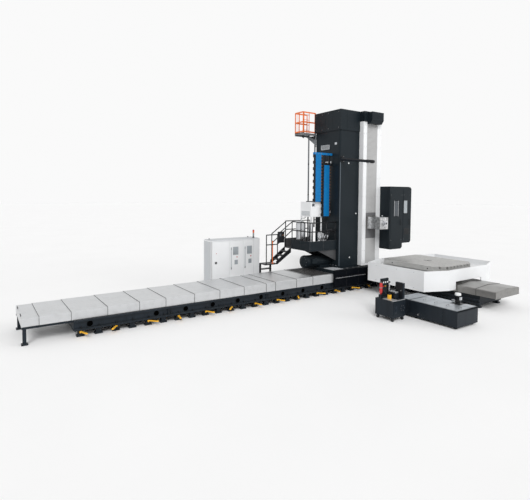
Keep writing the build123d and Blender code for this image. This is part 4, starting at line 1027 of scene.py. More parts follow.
class MILL_OT_head(bpy.types.Operator):
    """Dark slats, collar and screws of the head, and the fittings of ram and spindle nose"""
    bl_idname = "mill.head"
    bl_label = "Head, ram and spindle"

    def execute(self, context):
        half = (RAM_HIGH.x - RAM_LOW.x) / 2
        return done(self.slats(), self.collar(half), self.ram_nose(half), self.nose_keys())

    @staticmethod
    def slats():
        """Slats of the head above and below the ram."""
        plate = Piece("head_slats", "head", "dark_steel", "slat_dark", 0.0015)
        inset, clear, pitch = 0.006, 0.035, 0.045
        for low, high in ((RAM_HIGH.z + clear, HEAD_HIGH.z - inset),
                          (HEAD_LOW.z + inset, RAM_LOW.z - clear)):
            plate.slats((HEAD_LOW.x + inset, FRAME_LOW.y + 0.002, low),
                        (HEAD_HIGH.x - inset, HEAD_LOW.y, high),
                        max(3, round((high - low) / pitch)), 1)
        return plate

    @staticmethod
    def collar(half):
        """A square frame round the ram, screwed on left and right."""
        collar = Piece("ram_collar", "head", "dark_steel", "dark_sheet", 0.004)
        inner, outer = half + 0.007, half + 0.030
        face, front = HEAD_LOW.y, HEAD_LOW.y - 0.045
        for left, foot, right, top in ((-outer, -outer, outer, -inner),
                                       (-outer, inner, outer, outer),
                                       (-outer, -inner, -inner, inner),
                                       (inner, -inner, outer, inner)):
            collar.block((SPINDLE_X + left, front, SPINDLE_Z + foot),
                         (SPINDLE_X + right, face, SPINDLE_Z + top))
        collar.hexes([(SPINDLE_X + side * (inner + 0.012), front, SPINDLE_Z + rise)
                      for side in (-1, 1) for rise in (-0.18, -0.06, 0.06, 0.18)],
                     NEAR, 0.007, 0.008, "bolt")
        return collar

    @staticmethod
    def ram_nose(half):
        """The ring round the spindle with its bolts, and the ram's corner screws and pads."""
        nose = Piece("ram_nose_fittings", "ram", "ram_steel", "bright", 0.002)
        y, z = RAM_LOW.y, SPINDLE_Z
        bore, rim, thick, bolts = 0.116, 0.178, 0.014, 0.148
        nose.turned((SPINDLE_X, y, z), NEAR,
                    [(bore, 0), (rim, 0), (rim, thick - 0.004), (rim - 0.006, thick),
                     (bore + 0.002, thick), (bore, thick - 0.002)], 48, "ram")
        nose.hexes(circle((SPINDLE_X, y - thick, z), 1, bolts, 8), NEAR, 0.009, 0.008, "bolt")
        corner = half - 0.035
        nose.hexes([(SPINDLE_X + a * corner, y, z + b * corner) for a in (-1, 1) for b in (-1, 1)],
                   NEAR, 0.010, 0.010, "bolt")
        for side in (-1, 1):
            edge = SPINDLE_X + side * half
            nose.block((edge, y + 0.02, z - 0.15), (edge + side * 0.004, y + 0.13, z + 0.15), "ram")
        return nose

    @staticmethod
    def nose_keys():
        """The two driving keys of the spindle nose."""
        keys = Piece("nose_keys", "spindle", "chrome", "bolt", 0.0015)
        tip, half = box("spindle")[0].y, 0.011
        for x in (SPINDLE_X - 0.052, SPINDLE_X + 0.052):
            keys.block((x - half, tip, SPINDLE_Z - 0.0125),
                       (x + half, tip + 0.012, SPINDLE_Z + 0.0125))
        return keys


class MILL_OT_railing(bpy.types.Operator):
    """Round tube railing of the platform and its stair, with switch box, lever and treads"""
    bl_idname = "mill.railing"
    bl_label = "Railing"

    def execute(self, context):
        tubes = self.tubes(context.scene.mill_sizes.rail_tube)
        return done(tubes, self.switch_box(), self.lever(), self.treads())

    @staticmethod
    def tubes(radius):
        """Top and middle rails with their posts, round the platform and down the stair."""
        low, high = box("service_platform")
        rail = Piece("tube_railing", "column", "black_paint", "black", 0,
                     replaces=("platform_railing",))
        inset = 0.029
        left, near, far, right = low.x + inset, low.y + inset, high.y - inset, COLUMN_LOW.x
        inner = far - 0.046
        top, middle = RAIL_TOP - radius, RAIL_TOP - 0.327 - radius
        foot, knee = LANDING_RAIL, 1.76

        def corner(z):
            return [(right, near, z), (left + 0.08, near, z), (left + 0.02, near + 0.02, z),
                    (left, near + 0.08, z)]

        rail.pipe(corner(top) + [(left, STAIR_Y - 0.05, top), (left - 0.005, STAIR_Y, top - 0.008),
                                 (LANDING_RIGHT, STAIR_Y, foot), (LANDING_LEFT, STAIR_Y, foot)],
                  radius, 14)
        rail.pipe(corner(middle) + [(left, STAIR_Y, middle)], radius, 14)
        rail.pipe([(right, far, top), (left, far, top), (left, inner, top),
                   (LANDING_RIGHT, inner, foot)], radius, 14)
        rail.pipe([(right, far, middle), (left, far, middle)], radius, 14)
        for x, y in ((left, near), (-3.21, near), (-2.772, near), (left, (near + STAIR_Y) / 2),
                     (left, STAIR_Y), (left, far), (-3.21, far), (-2.772, far)):
            rail.rod((x, y, DECK), (x, y, top), radius * 0.95)
            rail.block((x - 0.035, y - 0.028, DECK), (x + 0.035, y + 0.028, DECK + 0.010))
        for x, y, z in ((LANDING_RIGHT, STAIR_Y, LANDING - 0.025),
                        (LANDING_LEFT, STAIR_Y, LANDING - 0.025), (LANDING_RIGHT, inner, LANDING)):
            rail.rod((x, y, z), (x, y, foot), radius * 0.95)
        rail.pipe([(left, STAIR_Y, middle), (LANDING_RIGHT, STAIR_Y, knee),
                   (LANDING_LEFT, STAIR_Y, knee)], radius, 12)
        rail.pipe([(left, inner, middle), (LANDING_RIGHT, inner, knee)], radius, 12)
        return rail

    @staticmethod
    def switch_box():
        """The box on the stair's railing, with a screen and three buttons."""
        case = Piece("stair_switch_box", "column", "black_paint", "black", 0.008)
        front = STAIR_Y - 0.085
        lid = front - 0.006
        case.block((-4.696, front, 1.818), (-4.433, STAIR_Y - 0.017, 2.226))
        case.block((-4.68, lid, 1.835), (-4.45, front, 2.21))
        case.block((-4.66, lid - 0.005, 2.06), (-4.58, lid, 2.16), "screen")
        for k, colour in enumerate(("red", "lever", "white")):
            case.knob((-4.53 + k * 0.03, lid, 2.1), NEAR, 0.009, 0.006, 0.006, 0.008, 12, colour)
        return case

    @staticmethod
    def lever():
        """The orange lever that stands on the low landing."""
        pole = Piece("landing_lever", "column", "orange", "orange", 0)
        x, y = -4.82, STAIR_Y + 0.12
        pole.rod((x, y, LANDING), (x, y, 1.886), 0.016)
        pole.knob((x, y, LANDING), UP, 0.05, 0.012, 0.03, 0.02)
        return pole

    @staticmethod
    def treads():
        """Tread plates of the stair, the landing and the ladder below it."""
        low, high = box("platform_stair")
        treads = Piece("stair_treads", "column", "black_paint", "deck", 0.002)
        head, foot = -4.03, -4.70  # the stair's top and bottom end along x
        for share in (0.25, 0.5, 0.75):
            x, z = head + (foot - head) * share, DECK + (LANDING - DECK) * share
            treads.block((x - 0.094, low.y + 0.041, z - 0.006),
                         (x + 0.094, high.y - 0.041, z + 0.004))
        treads.block((-5.195, low.y + 0.005, LANDING), (-4.705, high.y - 0.005, LANDING + 0.006))
        for share in (0.2, 0.4, 0.6, 0.8):
            z = LANDING * share
            treads.block((-5.158, high.y - 0.154, z - 0.005), (-4.742, high.y - 0.002, z + 0.004))
        return treads


class MILL_OT_platform(bpy.types.Operator):
    """Skirt plates, tanks, pumps, cooler and drive drum of the platform"""
    bl_idname = "mill.platform"
    bl_label = "Platform and its units"

    def execute(self, context):
        return done(self.skirt(), self.tanks(), self.tank_pipes(), self.pumps(), self.hoses(),
                    self.cooler(), self.drum())

    @staticmethod
    def skirt():
        low, high = box("service_platform")
        skirt = Piece("platform_skirt", "column", "charcoal", "housing", 0.003)
        proud, gap = 0.005, 0.006
        foot, top, half = DECK - 0.036, high.z - gap, (high.x - low.x) / 2
        for x in (low.x + 0.008, low.x + 0.008 + half):
            skirt.block((x, low.y - proud, foot), (x + half - 0.014, low.y, top))
        for start, end in ((low.y + gap, 2.57), (2.578, BED_Y + STAIR_SIDE - gap)):
            skirt.block((low.x - proud, start, foot), (low.x, end, top))
        skirt.block((low.x + 0.012, low.y + 0.012, high.z - 0.03), (high.x, low.y + 0.030, top))
        return skirt

    @staticmethod
    def tanks():
        """Two domed tanks, each with two straps and three feet."""
        tank = Piece("silver_tanks", "column", "chrome", "silver", 0, replaces=("platform_tanks",))
        for (x, y), radius, top in ((BIG_TANK, 0.18, 2.62), (SMALL_TANK, 0.085, 2.56)):
            height = top - DECK
            tank.turned((x, y, DECK + 0.05), UP,
                        [(radius * 0.5, 0), (radius * 0.86, 0.02), (radius, 0.07),
                         (radius, height - 0.17), (radius * 0.94, height - 0.12),
                         (radius * 0.72, height - 0.08), (radius * 0.3, height - 0.055),
                         (radius * 0.22, height - 0.05)], 40)
            for z in (DECK + 0.22, DECK + height * 0.62):
                tank.band((x, y, z), UP, radius, 0.006, 0.034, 40, "bolt")
            for px, py, z in circle((x, y, DECK), 2, radius * 0.8, 3, math.radians(30)):
                tank.block((px - 0.02, py - 0.02, z), (px + 0.02, py + 0.02, z + 0.12), "bolt")
        return tank

    @staticmethod
    def tank_pipes():
        pipes = Piece("tank_pipes", "column", "chrome", "bright", 0)
        x, y = BIG_TANK
        pipes.pipe([(x, y, 2.56), (x, y, 2.70), (x + 0.02, y, 2.72), (x + 0.19, y, 2.72),
                    (x + 0.21, y, 2.74), (x + 0.21, y, 2.80)], 0.016)
        x, y = SMALL_TANK
        pipes.pipe([(x, y, 2.50), (x, y, 2.66), (x, y, 2.80)], 0.014)
        return pipes

    @staticmethod
    def pumps():
        """Three motor pumps, each lower than the one before, on a case with a plate."""
        low, high = box("pump_group")
        pump = Piece("pump_motors", "column", "chrome", "housing", 0.003, replaces=("pump_group",))
        plinth, lid = low.z + 0.06, 1.83
        plate = lid + 0.02
        pump.block((low.x, low.y, low.z), (high.x, high.y, plinth))
        pump.block((low.x + 0.02, low.y + 0.02, plinth), (high.x - 0.02, high.y - 0.02, lid))
        pump.block((low.x, low.y, lid), (high.x, high.y, plate), "cover")
        y, motor = (low.y + high.y) / 2, plate + 0.09
        for k, x in enumerate(PUMPS_X):
            tall = high.z - 0.07 * k - motor
            pump.turned((x, y, plate), UP, [(0.045, 0), (0.06, 0.01), (0.06, 0.04),
                                            (0.045, 0.05), (0.045, 0.09)], 24, "bright")
            pump.turned((x, y, motor), UP, [(0.058, 0), (0.058, tall - 0.08), (0.05, tall - 0.06),
                                            (0.05, tall - 0.02), (0.035, tall)], 24, "silver")
            pump.fins((x, y, 0), 0.056, 12, 1.96, high.z - 0.07 * k - 0.10, 0.005, "silver")
            pump.block((x - 0.03, y - 0.085, 2.02), (x + 0.03, y - 0.05, 2.10), "grey")
        return pump

    @staticmethod
    def hoses():
        """A hose from each pump, bowed up and over to the column."""
        low = box("pump_group")[0]
        hoses = Piece("pump_hoses", "column", "rubber", "hose", 0)
        steps = 12
        for k, x in enumerate(PUMPS_X):
            start, y, z = x + 0.06, low.y + 0.03 + 0.02 * k, 1.90 + 0.05 * k
            route = []
            for step in range(steps + 1):
                along = step / steps
                bow = math.sin(along * math.pi)
                route.append((start + along * (COLUMN_LOW.x + 0.01 - start), y + 0.03 * bow,
                              z + bow * (0.26 - 0.05 * k) + along * 0.25))
            hoses.pipe(route, 0.015, 12)
        return hoses

    @staticmethod
    def cooler():
        """Side and front panels with a vent and a display, and the fan's guard on top."""
        low, high = box("cooler")
        case = Piece("cooler_panels", "column", "white_paint", "white", 0.003)
        proud, edge, split = 0.004, 0.015, 0.30
        base, top = 2.777, high.z - edge
        case.block((low.x - proud, low.y + edge, base + edge), (low.x, high.y - edge, top))
        for foot, head in ((base + split, top), (base + edge, base + split - edge)):
            case.block((low.x + 0.02, low.y - proud, foot), (high.x - 0.02, low.y, head))
        case.slats((low.x - 0.012, low.y + 0.06, base + 0.05),
                   (low.x - 0.002, low.y + 0.54, base + 0.22), 6, 0, "grey")
        x, y = (low.x + high.x) / 2, (low.y + high.y) / 2
        case.turned((x, y, high.z), UP, [(0.17, 0), (0.20, 0), (0.20, 0.03), (0.17, 0.03)], 36,
                    "black")
        spot, half = Vector((x, y, high.z + 0.026)), Vector((0.18, 0.004, 0.002))
        for k in range(4):
            case.block(spot - half, spot + half, "black", Matrix.Rotation(math.pi * k / 4, 3, "Z"))
        case.block((low.x + 0.05, low.y - 0.012, high.z - 0.16),
                   (low.x + 0.17, low.y - proud, high.z - 0.07), "screen")
        return case

    @staticmethod
    def drum():
        """Straps, end cover and terminal box of the drive drum under the platform."""
        low = box("column_drive")[0]
        centre = Vector((low.x, BED_Y + 0.1, 1.105))
        drum = Piece("drive_drum_bands", "column", "charcoal", "housing", 0.002)
        for x in (0.03, 0.42, 0.80, 1.10):
            drum.band(centre + Vector((x, 0, 0)), RIGHT, 0.234, 0.009, 0.038, 48, soft=0.003)
        drum.turned(centre, LEFT, [(0.21, 0), (0.21, 0.012), (0.17, 0.022), (0.10, 0.026)], 40)
        drum.hexes(circle(centre + Vector((-0.010, 0, 0)), 0, 0.19, 10), LEFT, 0.010, 0.010, "bolt")
        drum.block((low.x + 0.18, centre.y - 0.30, 1.06), (low.x + 0.40, centre.y - 0.20, 1.24))
        return drum


class MILL_OT_chains(bpy.types.Operator):
    """The two upright energy chains, link by link, with their bracket"""
    bl_idname = "mill.chains"
    bl_label = "Energy chains"

    def execute(self, context):
        pitch = context.scene.mill_sizes.link_pitch
        low = box("energy_chains")[0]
        near, far = low.y, low.y + 0.09
        chain = Piece("energy_chain_links", "column", "chain_blue", "link", 0.003,
                      replaces=("energy_chains",))
        lefts, feet, tops = (-3.603, -3.188), (3.345, 2.80), (5.09, 4.72)
        for left, foot, top in zip(lefts, feet, tops):
            right = left + 0.39
            count = round((top - foot) / pitch)
            step = (top - foot) / count
            for k in range(count):
                self.link(chain, left, right, near, far, foot + k * step, step, k % 2)
            chain.block((left + 0.02, near + 0.01, foot), (right - 0.02, far - 0.01, foot + 0.03),
                        "black")
        for left, top, colour in zip(lefts, tops, ("chain", "black")):
            chain.block((left, near, top), (COLUMN_LOW.x, far, top + 0.08), colour)
        for x in (-3.10, -2.86):
            chain.block((x, near + 0.02, tops[1] + 0.08), (x + 0.05, far - 0.02, tops[0]), "black")
        chain.hexes([(x, near, tops[0] + 0.04) for x in (-3.55, -3.40, -3.27, -3.0, -2.85)],
                    NEAR, 0.012, 0.010, "bolt")
        return done(chain)

    @staticmethod
    def link(chain, left, right, near, far, z, step, narrow):
        """One link: two side bars, the narrower ones as teeth, two covers and a clip."""
        inset = 0.006 if narrow else 0.0
        soft, foot, top = 0.006, z + 0.004, z + step + 0.002
        waist, shoulder = z + step * 0.3, z + step * 0.7
        outline = [(near + soft, foot), (near, waist), (near, shoulder), (near + soft, top),
                   (far - soft, top), (far, shoulder), (far, waist), (far - soft, foot)]
        for start, end in ((left + 6 * inset, left + 0.066), (right - 0.056, right - inset)):
            chain.prism(outline, 0, start, end)
        for y in (near + 0.004, far - 0.018):
            chain.block((left + 0.062, y, z + 0.001), (right - 0.052, y + 0.014, z + step - 0.001),
                        "chain")
        chain.block((right - 0.046, near - 0.006, waist), (right - 0.016, near + 0.002, shoulder),
                    "clip")


class MILL_OT_ladder(bpy.types.Operator):
    """Bars of the guard cage, and edge strips and brackets of the ladder landing"""
    bl_idname = "mill.ladder"
    bl_label = "Ladder and cage"

    def execute(self, context):
        left = box("caged_ladder")[0].x
        near, far = BED_Y + 0.9, BED_Y + 1.4
        return done(self.cage(left, near, far), self.landing(left, far))

    @staticmethod
    def cage(left, near, far):
        cage = Piece("cage_bars", "column", "orange", "orange", 0)
        top, rails = 6.846, (6.075, 6.445, 6.825)
        posts, y = (left + 0.13, left + 0.39), near + 0.09
        edge = 0.006
        for x in posts:
            cage.rod((x, y, CAGE_FLOOR), (x, y, top), 0.014, 12)
            for z in rails:
                cage.rod((x, near + edge, z), (x, y, z), 0.008, 10)
        for k in range(4):
            z = 6.15 + k * 0.2
            cage.rod((posts[0], y, z), (posts[1], y, z), 0.009, 10)
        for y in (near + 0.25, far - 0.13):
            cage.rod((left + edge, y, CAGE_FLOOR), (left + edge, y, top), 0.007, 10)
        for z in rails:
            cage.pipe([(left + 0.60, near + edge, z), (COLUMN_LOW.x - 0.02, near - 0.03, z),
                       (COLUMN_LOW.x + 0.02, COLUMN_HIGH.y + 0.03, z)], 0.007)
        return cage

    @staticmethod
    def landing(left, far):
        """Edge strips and brackets of the landing, steps' edges and collars of the post."""
        landing = Piece("landing_edges", "column", "black_paint", "black", 0.002)
        wall, foot, top = COLUMN_HIGH.y, 6.01, 6.04
        landing.block((left, wall + 0.02, foot), (left + 0.012, far, top))
        landing.block((left, far - 0.012, foot), (-2.70, far, top))
        for x in (-3.30, -2.75):
            landing.prism([(wall + 0.05, 5.93), (wall + 0.05, 5.80), (wall + 0.30, 5.93)], 0,
                          x, x + 0.02)
        for k in range(12):
            z = 2.44 + k * 0.28
            landing.block((-2.612, BED_Y + 0.963, z + 0.022), (-2.288, BED_Y + 0.991, z + 0.027))
        for z in (2.45, 3.6, 4.8, 5.9):
            landing.knob((-2.95, BED_Y + 0.985, z), UP, 0.030, 0.03, 0.026, 0.034, 16)
        return landing


class MILL_OT_boom(bpy.types.Operator):
    """The work light boom, with its swivel bracket, joint rings and lamp"""
    bl_idname = "mill.boom"
    bl_label = "Light boom"

    def execute(self, context):
        root = Vector((-2.65, COLUMN_LOW.y, 4.94))
        drop = math.radians(7)
        along = Vector((0, -math.cos(drop), -math.sin(drop)))
        boom = Piece("work_light_boom", "column", "black_paint", "black", 0.003,
                     replaces=("light_boom",))
        plate = Vector((0, -0.018, 0))
        boom.block(root + plate + Vector((-0.06, 0, -0.12)), root + Vector((0.12, 0, 0.12)))
        boom.block(root + Vector((-0.05, -0.06, -0.07)), root + plate + Vector((0.05, 0, 0.07)))
        start = root + along * 0.035
        boom.turned(start, along, [(0.05, 0), (0.058, 0.02), (0.058, 0.10), (0.048, 0.11),
                                   (0.048, 1.20), (0.056, 1.21), (0.058, 1.24), (0.058, 1.50),
                                   (0.05, 1.535)], 28)
        boom.hexes([root + plate + Vector((0.09, 0, z)) for z in (-0.09, 0, 0.09)], NEAR, 0.011,
                   0.012, "bolt")
        lamp = start + along * 1.36 + Vector((0, 0, -0.055))
        boom.turned(lamp, DOWN, [(0.040, -0.01), (0.040, 0.004), (0.034, 0.006)], 24, "white")
        return done(boom)


class MILL_OT_magazine(bpy.types.Operator):
    """Door, slit, vents and handles of the tool magazine housing"""
    bl_idname = "mill.magazine"
    bl_label = "Tool magazine"

    def execute(self, context):
        low, high = box("tool_magazine")
        return done(self.panels(low, high), self.windows(low.y), self.fittings(low.x, low.y))

    @staticmethod
    def panels(low, high):
        """Two doors in front, two plates on the left side, one on the roof."""
        shell = Piece("magazine_panels", "column", "charcoal", "housing", 0.004)
        left, face = low.x, low.y
        shell.block((left + 0.06, face - 0.008, 1.60), (0.02, face, 3.76))
        shell.block((0.08, face - 0.008, 1.80), (high.x - 0.06, face, 3.84))
        for foot, top in ((1.62, 2.68), (2.72, 3.80)):
            shell.block((left - 0.006, face + 0.05, foot), (left, FRAME_LOW.y - 0.03, top))
        shell.block((left + 0.02, face + 0.04, high.z),
                    (high.x - 0.09, high.y - 0.04, high.z + 0.012))
        return shell

    @staticmethod
    def windows(face):
        """A dark slit with bright jambs in the left door, a grey pane in the right one."""
        slit = Piece("magazine_window", "column", "screen_glass", "screen", 0.003)
        bar, back = 0.014, face - 0.006
        for left, right, foot, top, jamb, pane in (
                (-0.466, -0.237, 2.796, 3.38, "bright", "screen"),
                (0.10, 0.32, 2.90, 3.40, "black", "pane")):
            slit.block((left, face - 0.011, foot), (right, back, top), pane)
            for x in (left - bar, right):
                slit.block((x, face - 0.020, foot - bar), (x + bar, back, top + bar), jamb)
            for z in (foot - bar, top):
                slit.block((left, face - 0.020, z), (right, back, z + bar), "black")
        return slit

    @staticmethod
    def fittings(left, face):
        """Handles, hinges, a vent, a lifting plug and screws."""
        trim = Piece("magazine_fittings", "column", "charcoal", "black", 0.002)
        skin = face - 0.008
        for x in (-0.10, 0.44):
            trim.pipe([(x, skin, 2.45), (x, skin - 0.037, 2.46), (x, skin - 0.037, 2.64),
                       (x, skin, 2.65)], 0.010, 12)
        for z in (1.70, 2.55, 3.45):
            trim.knob((left + 0.045, face - 0.004, z), UP, 0.012, 0.10, 0.008, 0.104, 14)
        trim.slats((0.14, face - 0.016, 2.05), (0.46, skin, 2.30), 10, 1)
        trim.knob((left, 1.562, 2.793), LEFT, 0.028, 0.012, 0.02, 0.016, finish="white")
        trim.hexes([(x, skin, z) for x in (-0.64, -0.02, 0.12, 0.48) for z in (1.86, 3.62)],
                   NEAR, 0.008, 0.006, "bolt")
        return trim


class MILL_OT_table(bpy.types.Operator):
    """Slot mouths, scale ring, lifting holes and skirt trim of the work table"""
    bl_idname = "mill.table"
    bl_label = "Work table"

    def execute(self, context):
        rim = Piece("table_scale_ring", "turning_table", "table_steel", "bright", 0.001)
        rim.band((0, 0, 0.983), UP, 0.702, 0.010, 0.020, 96)
        return done(self.top(), rim, self.skirt())

    @staticmethod
    def top():
        """The ring round the centre bore, the lifting holes as black discs of painted shade, and
        the stops of the slots.
        """
        top = TABLE_HIGH.z
        table = Piece("table_top_fittings", "turning_table", "table_steel", "plate", 0.0015)
        table.tube((0, 0, top), UP, 0.062, 0.15, 0.002, 48, "slat_dark")
        # The lifting holes: black discs, painted shade for the holes' dark inside.
        for side in (-1, 1):
            for y in (-0.75, 0.75):
                table.disc((side * TABLE_HIGH.x, y, top - 0.09), (side, 0, 0), 0.024, 0.002,
                           finish="black")
        for k in range(10):
            x = -0.9 + 0.2 * k
            beyond = abs(x) - TABLE_HIGH.x  # how far the corner cuts shorten this slot
            near = TABLE_LOW.y + 0.75 * max(0, beyond + 0.40)
            far = TABLE_HIGH.y - max(0, beyond + 0.15)
            for end, way in ((near, 1), (far, -1)):
                start, stop = end + way * 0.030, end + way * 0.075
                for half, low, high in ((0.029, 0.063, 0.039), (0.0175, 0.040, 0.004)):
                    table.block((x - half, start, top - low), (x + half, stop, top - high),
                                "rubber")
        return table

    @staticmethod
    def skirt():
        """Rim strips on the white skirt, and its screws on the left side."""
        skirt = Piece("skirt_trim", "table_saddle", "white_paint", "white", 0.002)
        low, high = SKIRT_LOW, SKIRT_HIGH
        wide, top = 0.030, high.z + 0.006
        for side in (-1, 1):
            x = side * high.x
            skirt.block((x, low.y + 0.36, high.z), (x - side * wide, high.y - 0.36, top))
        skirt.block((-1.12, low.y, high.z), (1.12, low.y + wide, top))
        skirt.hexes([(-high.x, y, z) for y in (-0.9, -0.2, 0.7) for z in (0.56, 1.07)],
                    LEFT, 0.008, 0.006, "bolt")
        return skirt


class MILL_OT_coolant(bpy.types.Operator):
    """Lids, handles, side seams and pump of the chip and coolant tank"""
    bl_idname = "mill.coolant"
    bl_label = "Coolant tank"

    def execute(self, context):
        low, high = box("coolant_tank")
        pump_low, pump_high = box("coolant_pump")
        x, y = (pump_low.x + pump_high.x) / 2, (pump_low.y + pump_high.y) / 2
        return done(self.lids(low, high, context.scene.mill_sizes.lid_count),
                    self.ribs(low, high), self.pump(x, y, high.z), self.outlet(x, y, high.z))

    @staticmethod
    def lids(low, high, count):
        """A row of lids with handles along the left side, and three plates beside it."""
        lids = Piece("tank_lids", "foundation", "cover_steel", "lid", 0.003)
        left, right, top = low.x + 0.03, high.x - 0.03, high.z
        thick, thin, half = 0.014, 0.012, 0.06
        step = (high.y - low.y - 0.50) / count
        for k in range(count):
            y = low.y + 0.03 + k * step
            lids.block((left, y, top), (low.x + 0.64, y + step - thin, top + thick))
            x, y, z = low.x + 0.33, y + 0.10, top + thin
            lids.handle((x - half, y, z), (x + half, y, z), (0, 0, 0.033), 0.007, "bolt")
        lids.block((low.x + 0.68, low.y + 0.04, top), (right, low.y + 0.34, top + thin))
        lids.block((low.x + 0.66, low.y + 0.66, top), (right, high.y - 0.45, top + thin))
        lids.block((left, high.y - 0.42, top), (right, high.y - 0.03, top + thick))
        return lids

    @staticmethod
    def ribs(low, high):
        """The rolled near edge, upright ribs and drain plug of the tank."""
        body = Piece("tank_side_ribs", "foundation", "bed_blue", "casting", 0.003)
        body.block((low.x, low.y, high.z - 0.03), (high.x, low.y + 0.01, high.z + 0.006))
        for y in (-2.85, -2.3, -1.75):
            body.block((low.x - 0.008, y, low.z + 0.08), (low.x, y + 0.03, high.z - 0.02))
        body.turned((low.x, -2.1, 0.16), LEFT, [(0.03, 0), (0.03, 0.02), (0.02, 0.05),
                                                (0.02, 0.07)], 18, "bolt")
        return body

    @staticmethod
    def pump(x, y, z):
        pump = Piece("tank_pump", "foundation", "charcoal", "black", 0.001,
                     replaces=("coolant_pump",))
        tall = 0.252
        pump.turned((x, y, z), UP, [(0.095, 0), (0.095, 0.014), (0.07, 0.02), (0.07, 0.07),
                                    (0.082, 0.075), (0.082, 0.09), (0.066, 0.10), (0.066, 0.25),
                                    (0.08, tall)], 32)
        pump.turned((x, y, z + tall), UP, [(0.084, 0), (0.084, 0.05), (0.074, 0.066),
                                           (0.03, 0.075)], 32, "white")
        pump.fins((x, y, 0), 0.071, 20, z + 0.11, z + 0.245, 0.006)
        pump.block((x - 0.04, y - 0.105, z + 0.13), (x + 0.04, y - 0.068, z + 0.21), "grey")
        return pump

    @staticmethod
    def outlet(x, y, top):
        """The pump's outlet pipe, bent back down into the tank."""
        pipe = Piece("tank_pipe", "foundation", "chrome", "bright", 0)
        z, right = top + 0.045, x + 0.165
        pipe.pipe([(x + 0.06, y, z), (x + 0.13, y, z), (x + 0.16, y + 0.02, z),
                   (right, y + 0.25, z), (right, y + 0.28, top + 0.03), (right, y + 0.29, top)],
                  0.018, 14)
        return pipe


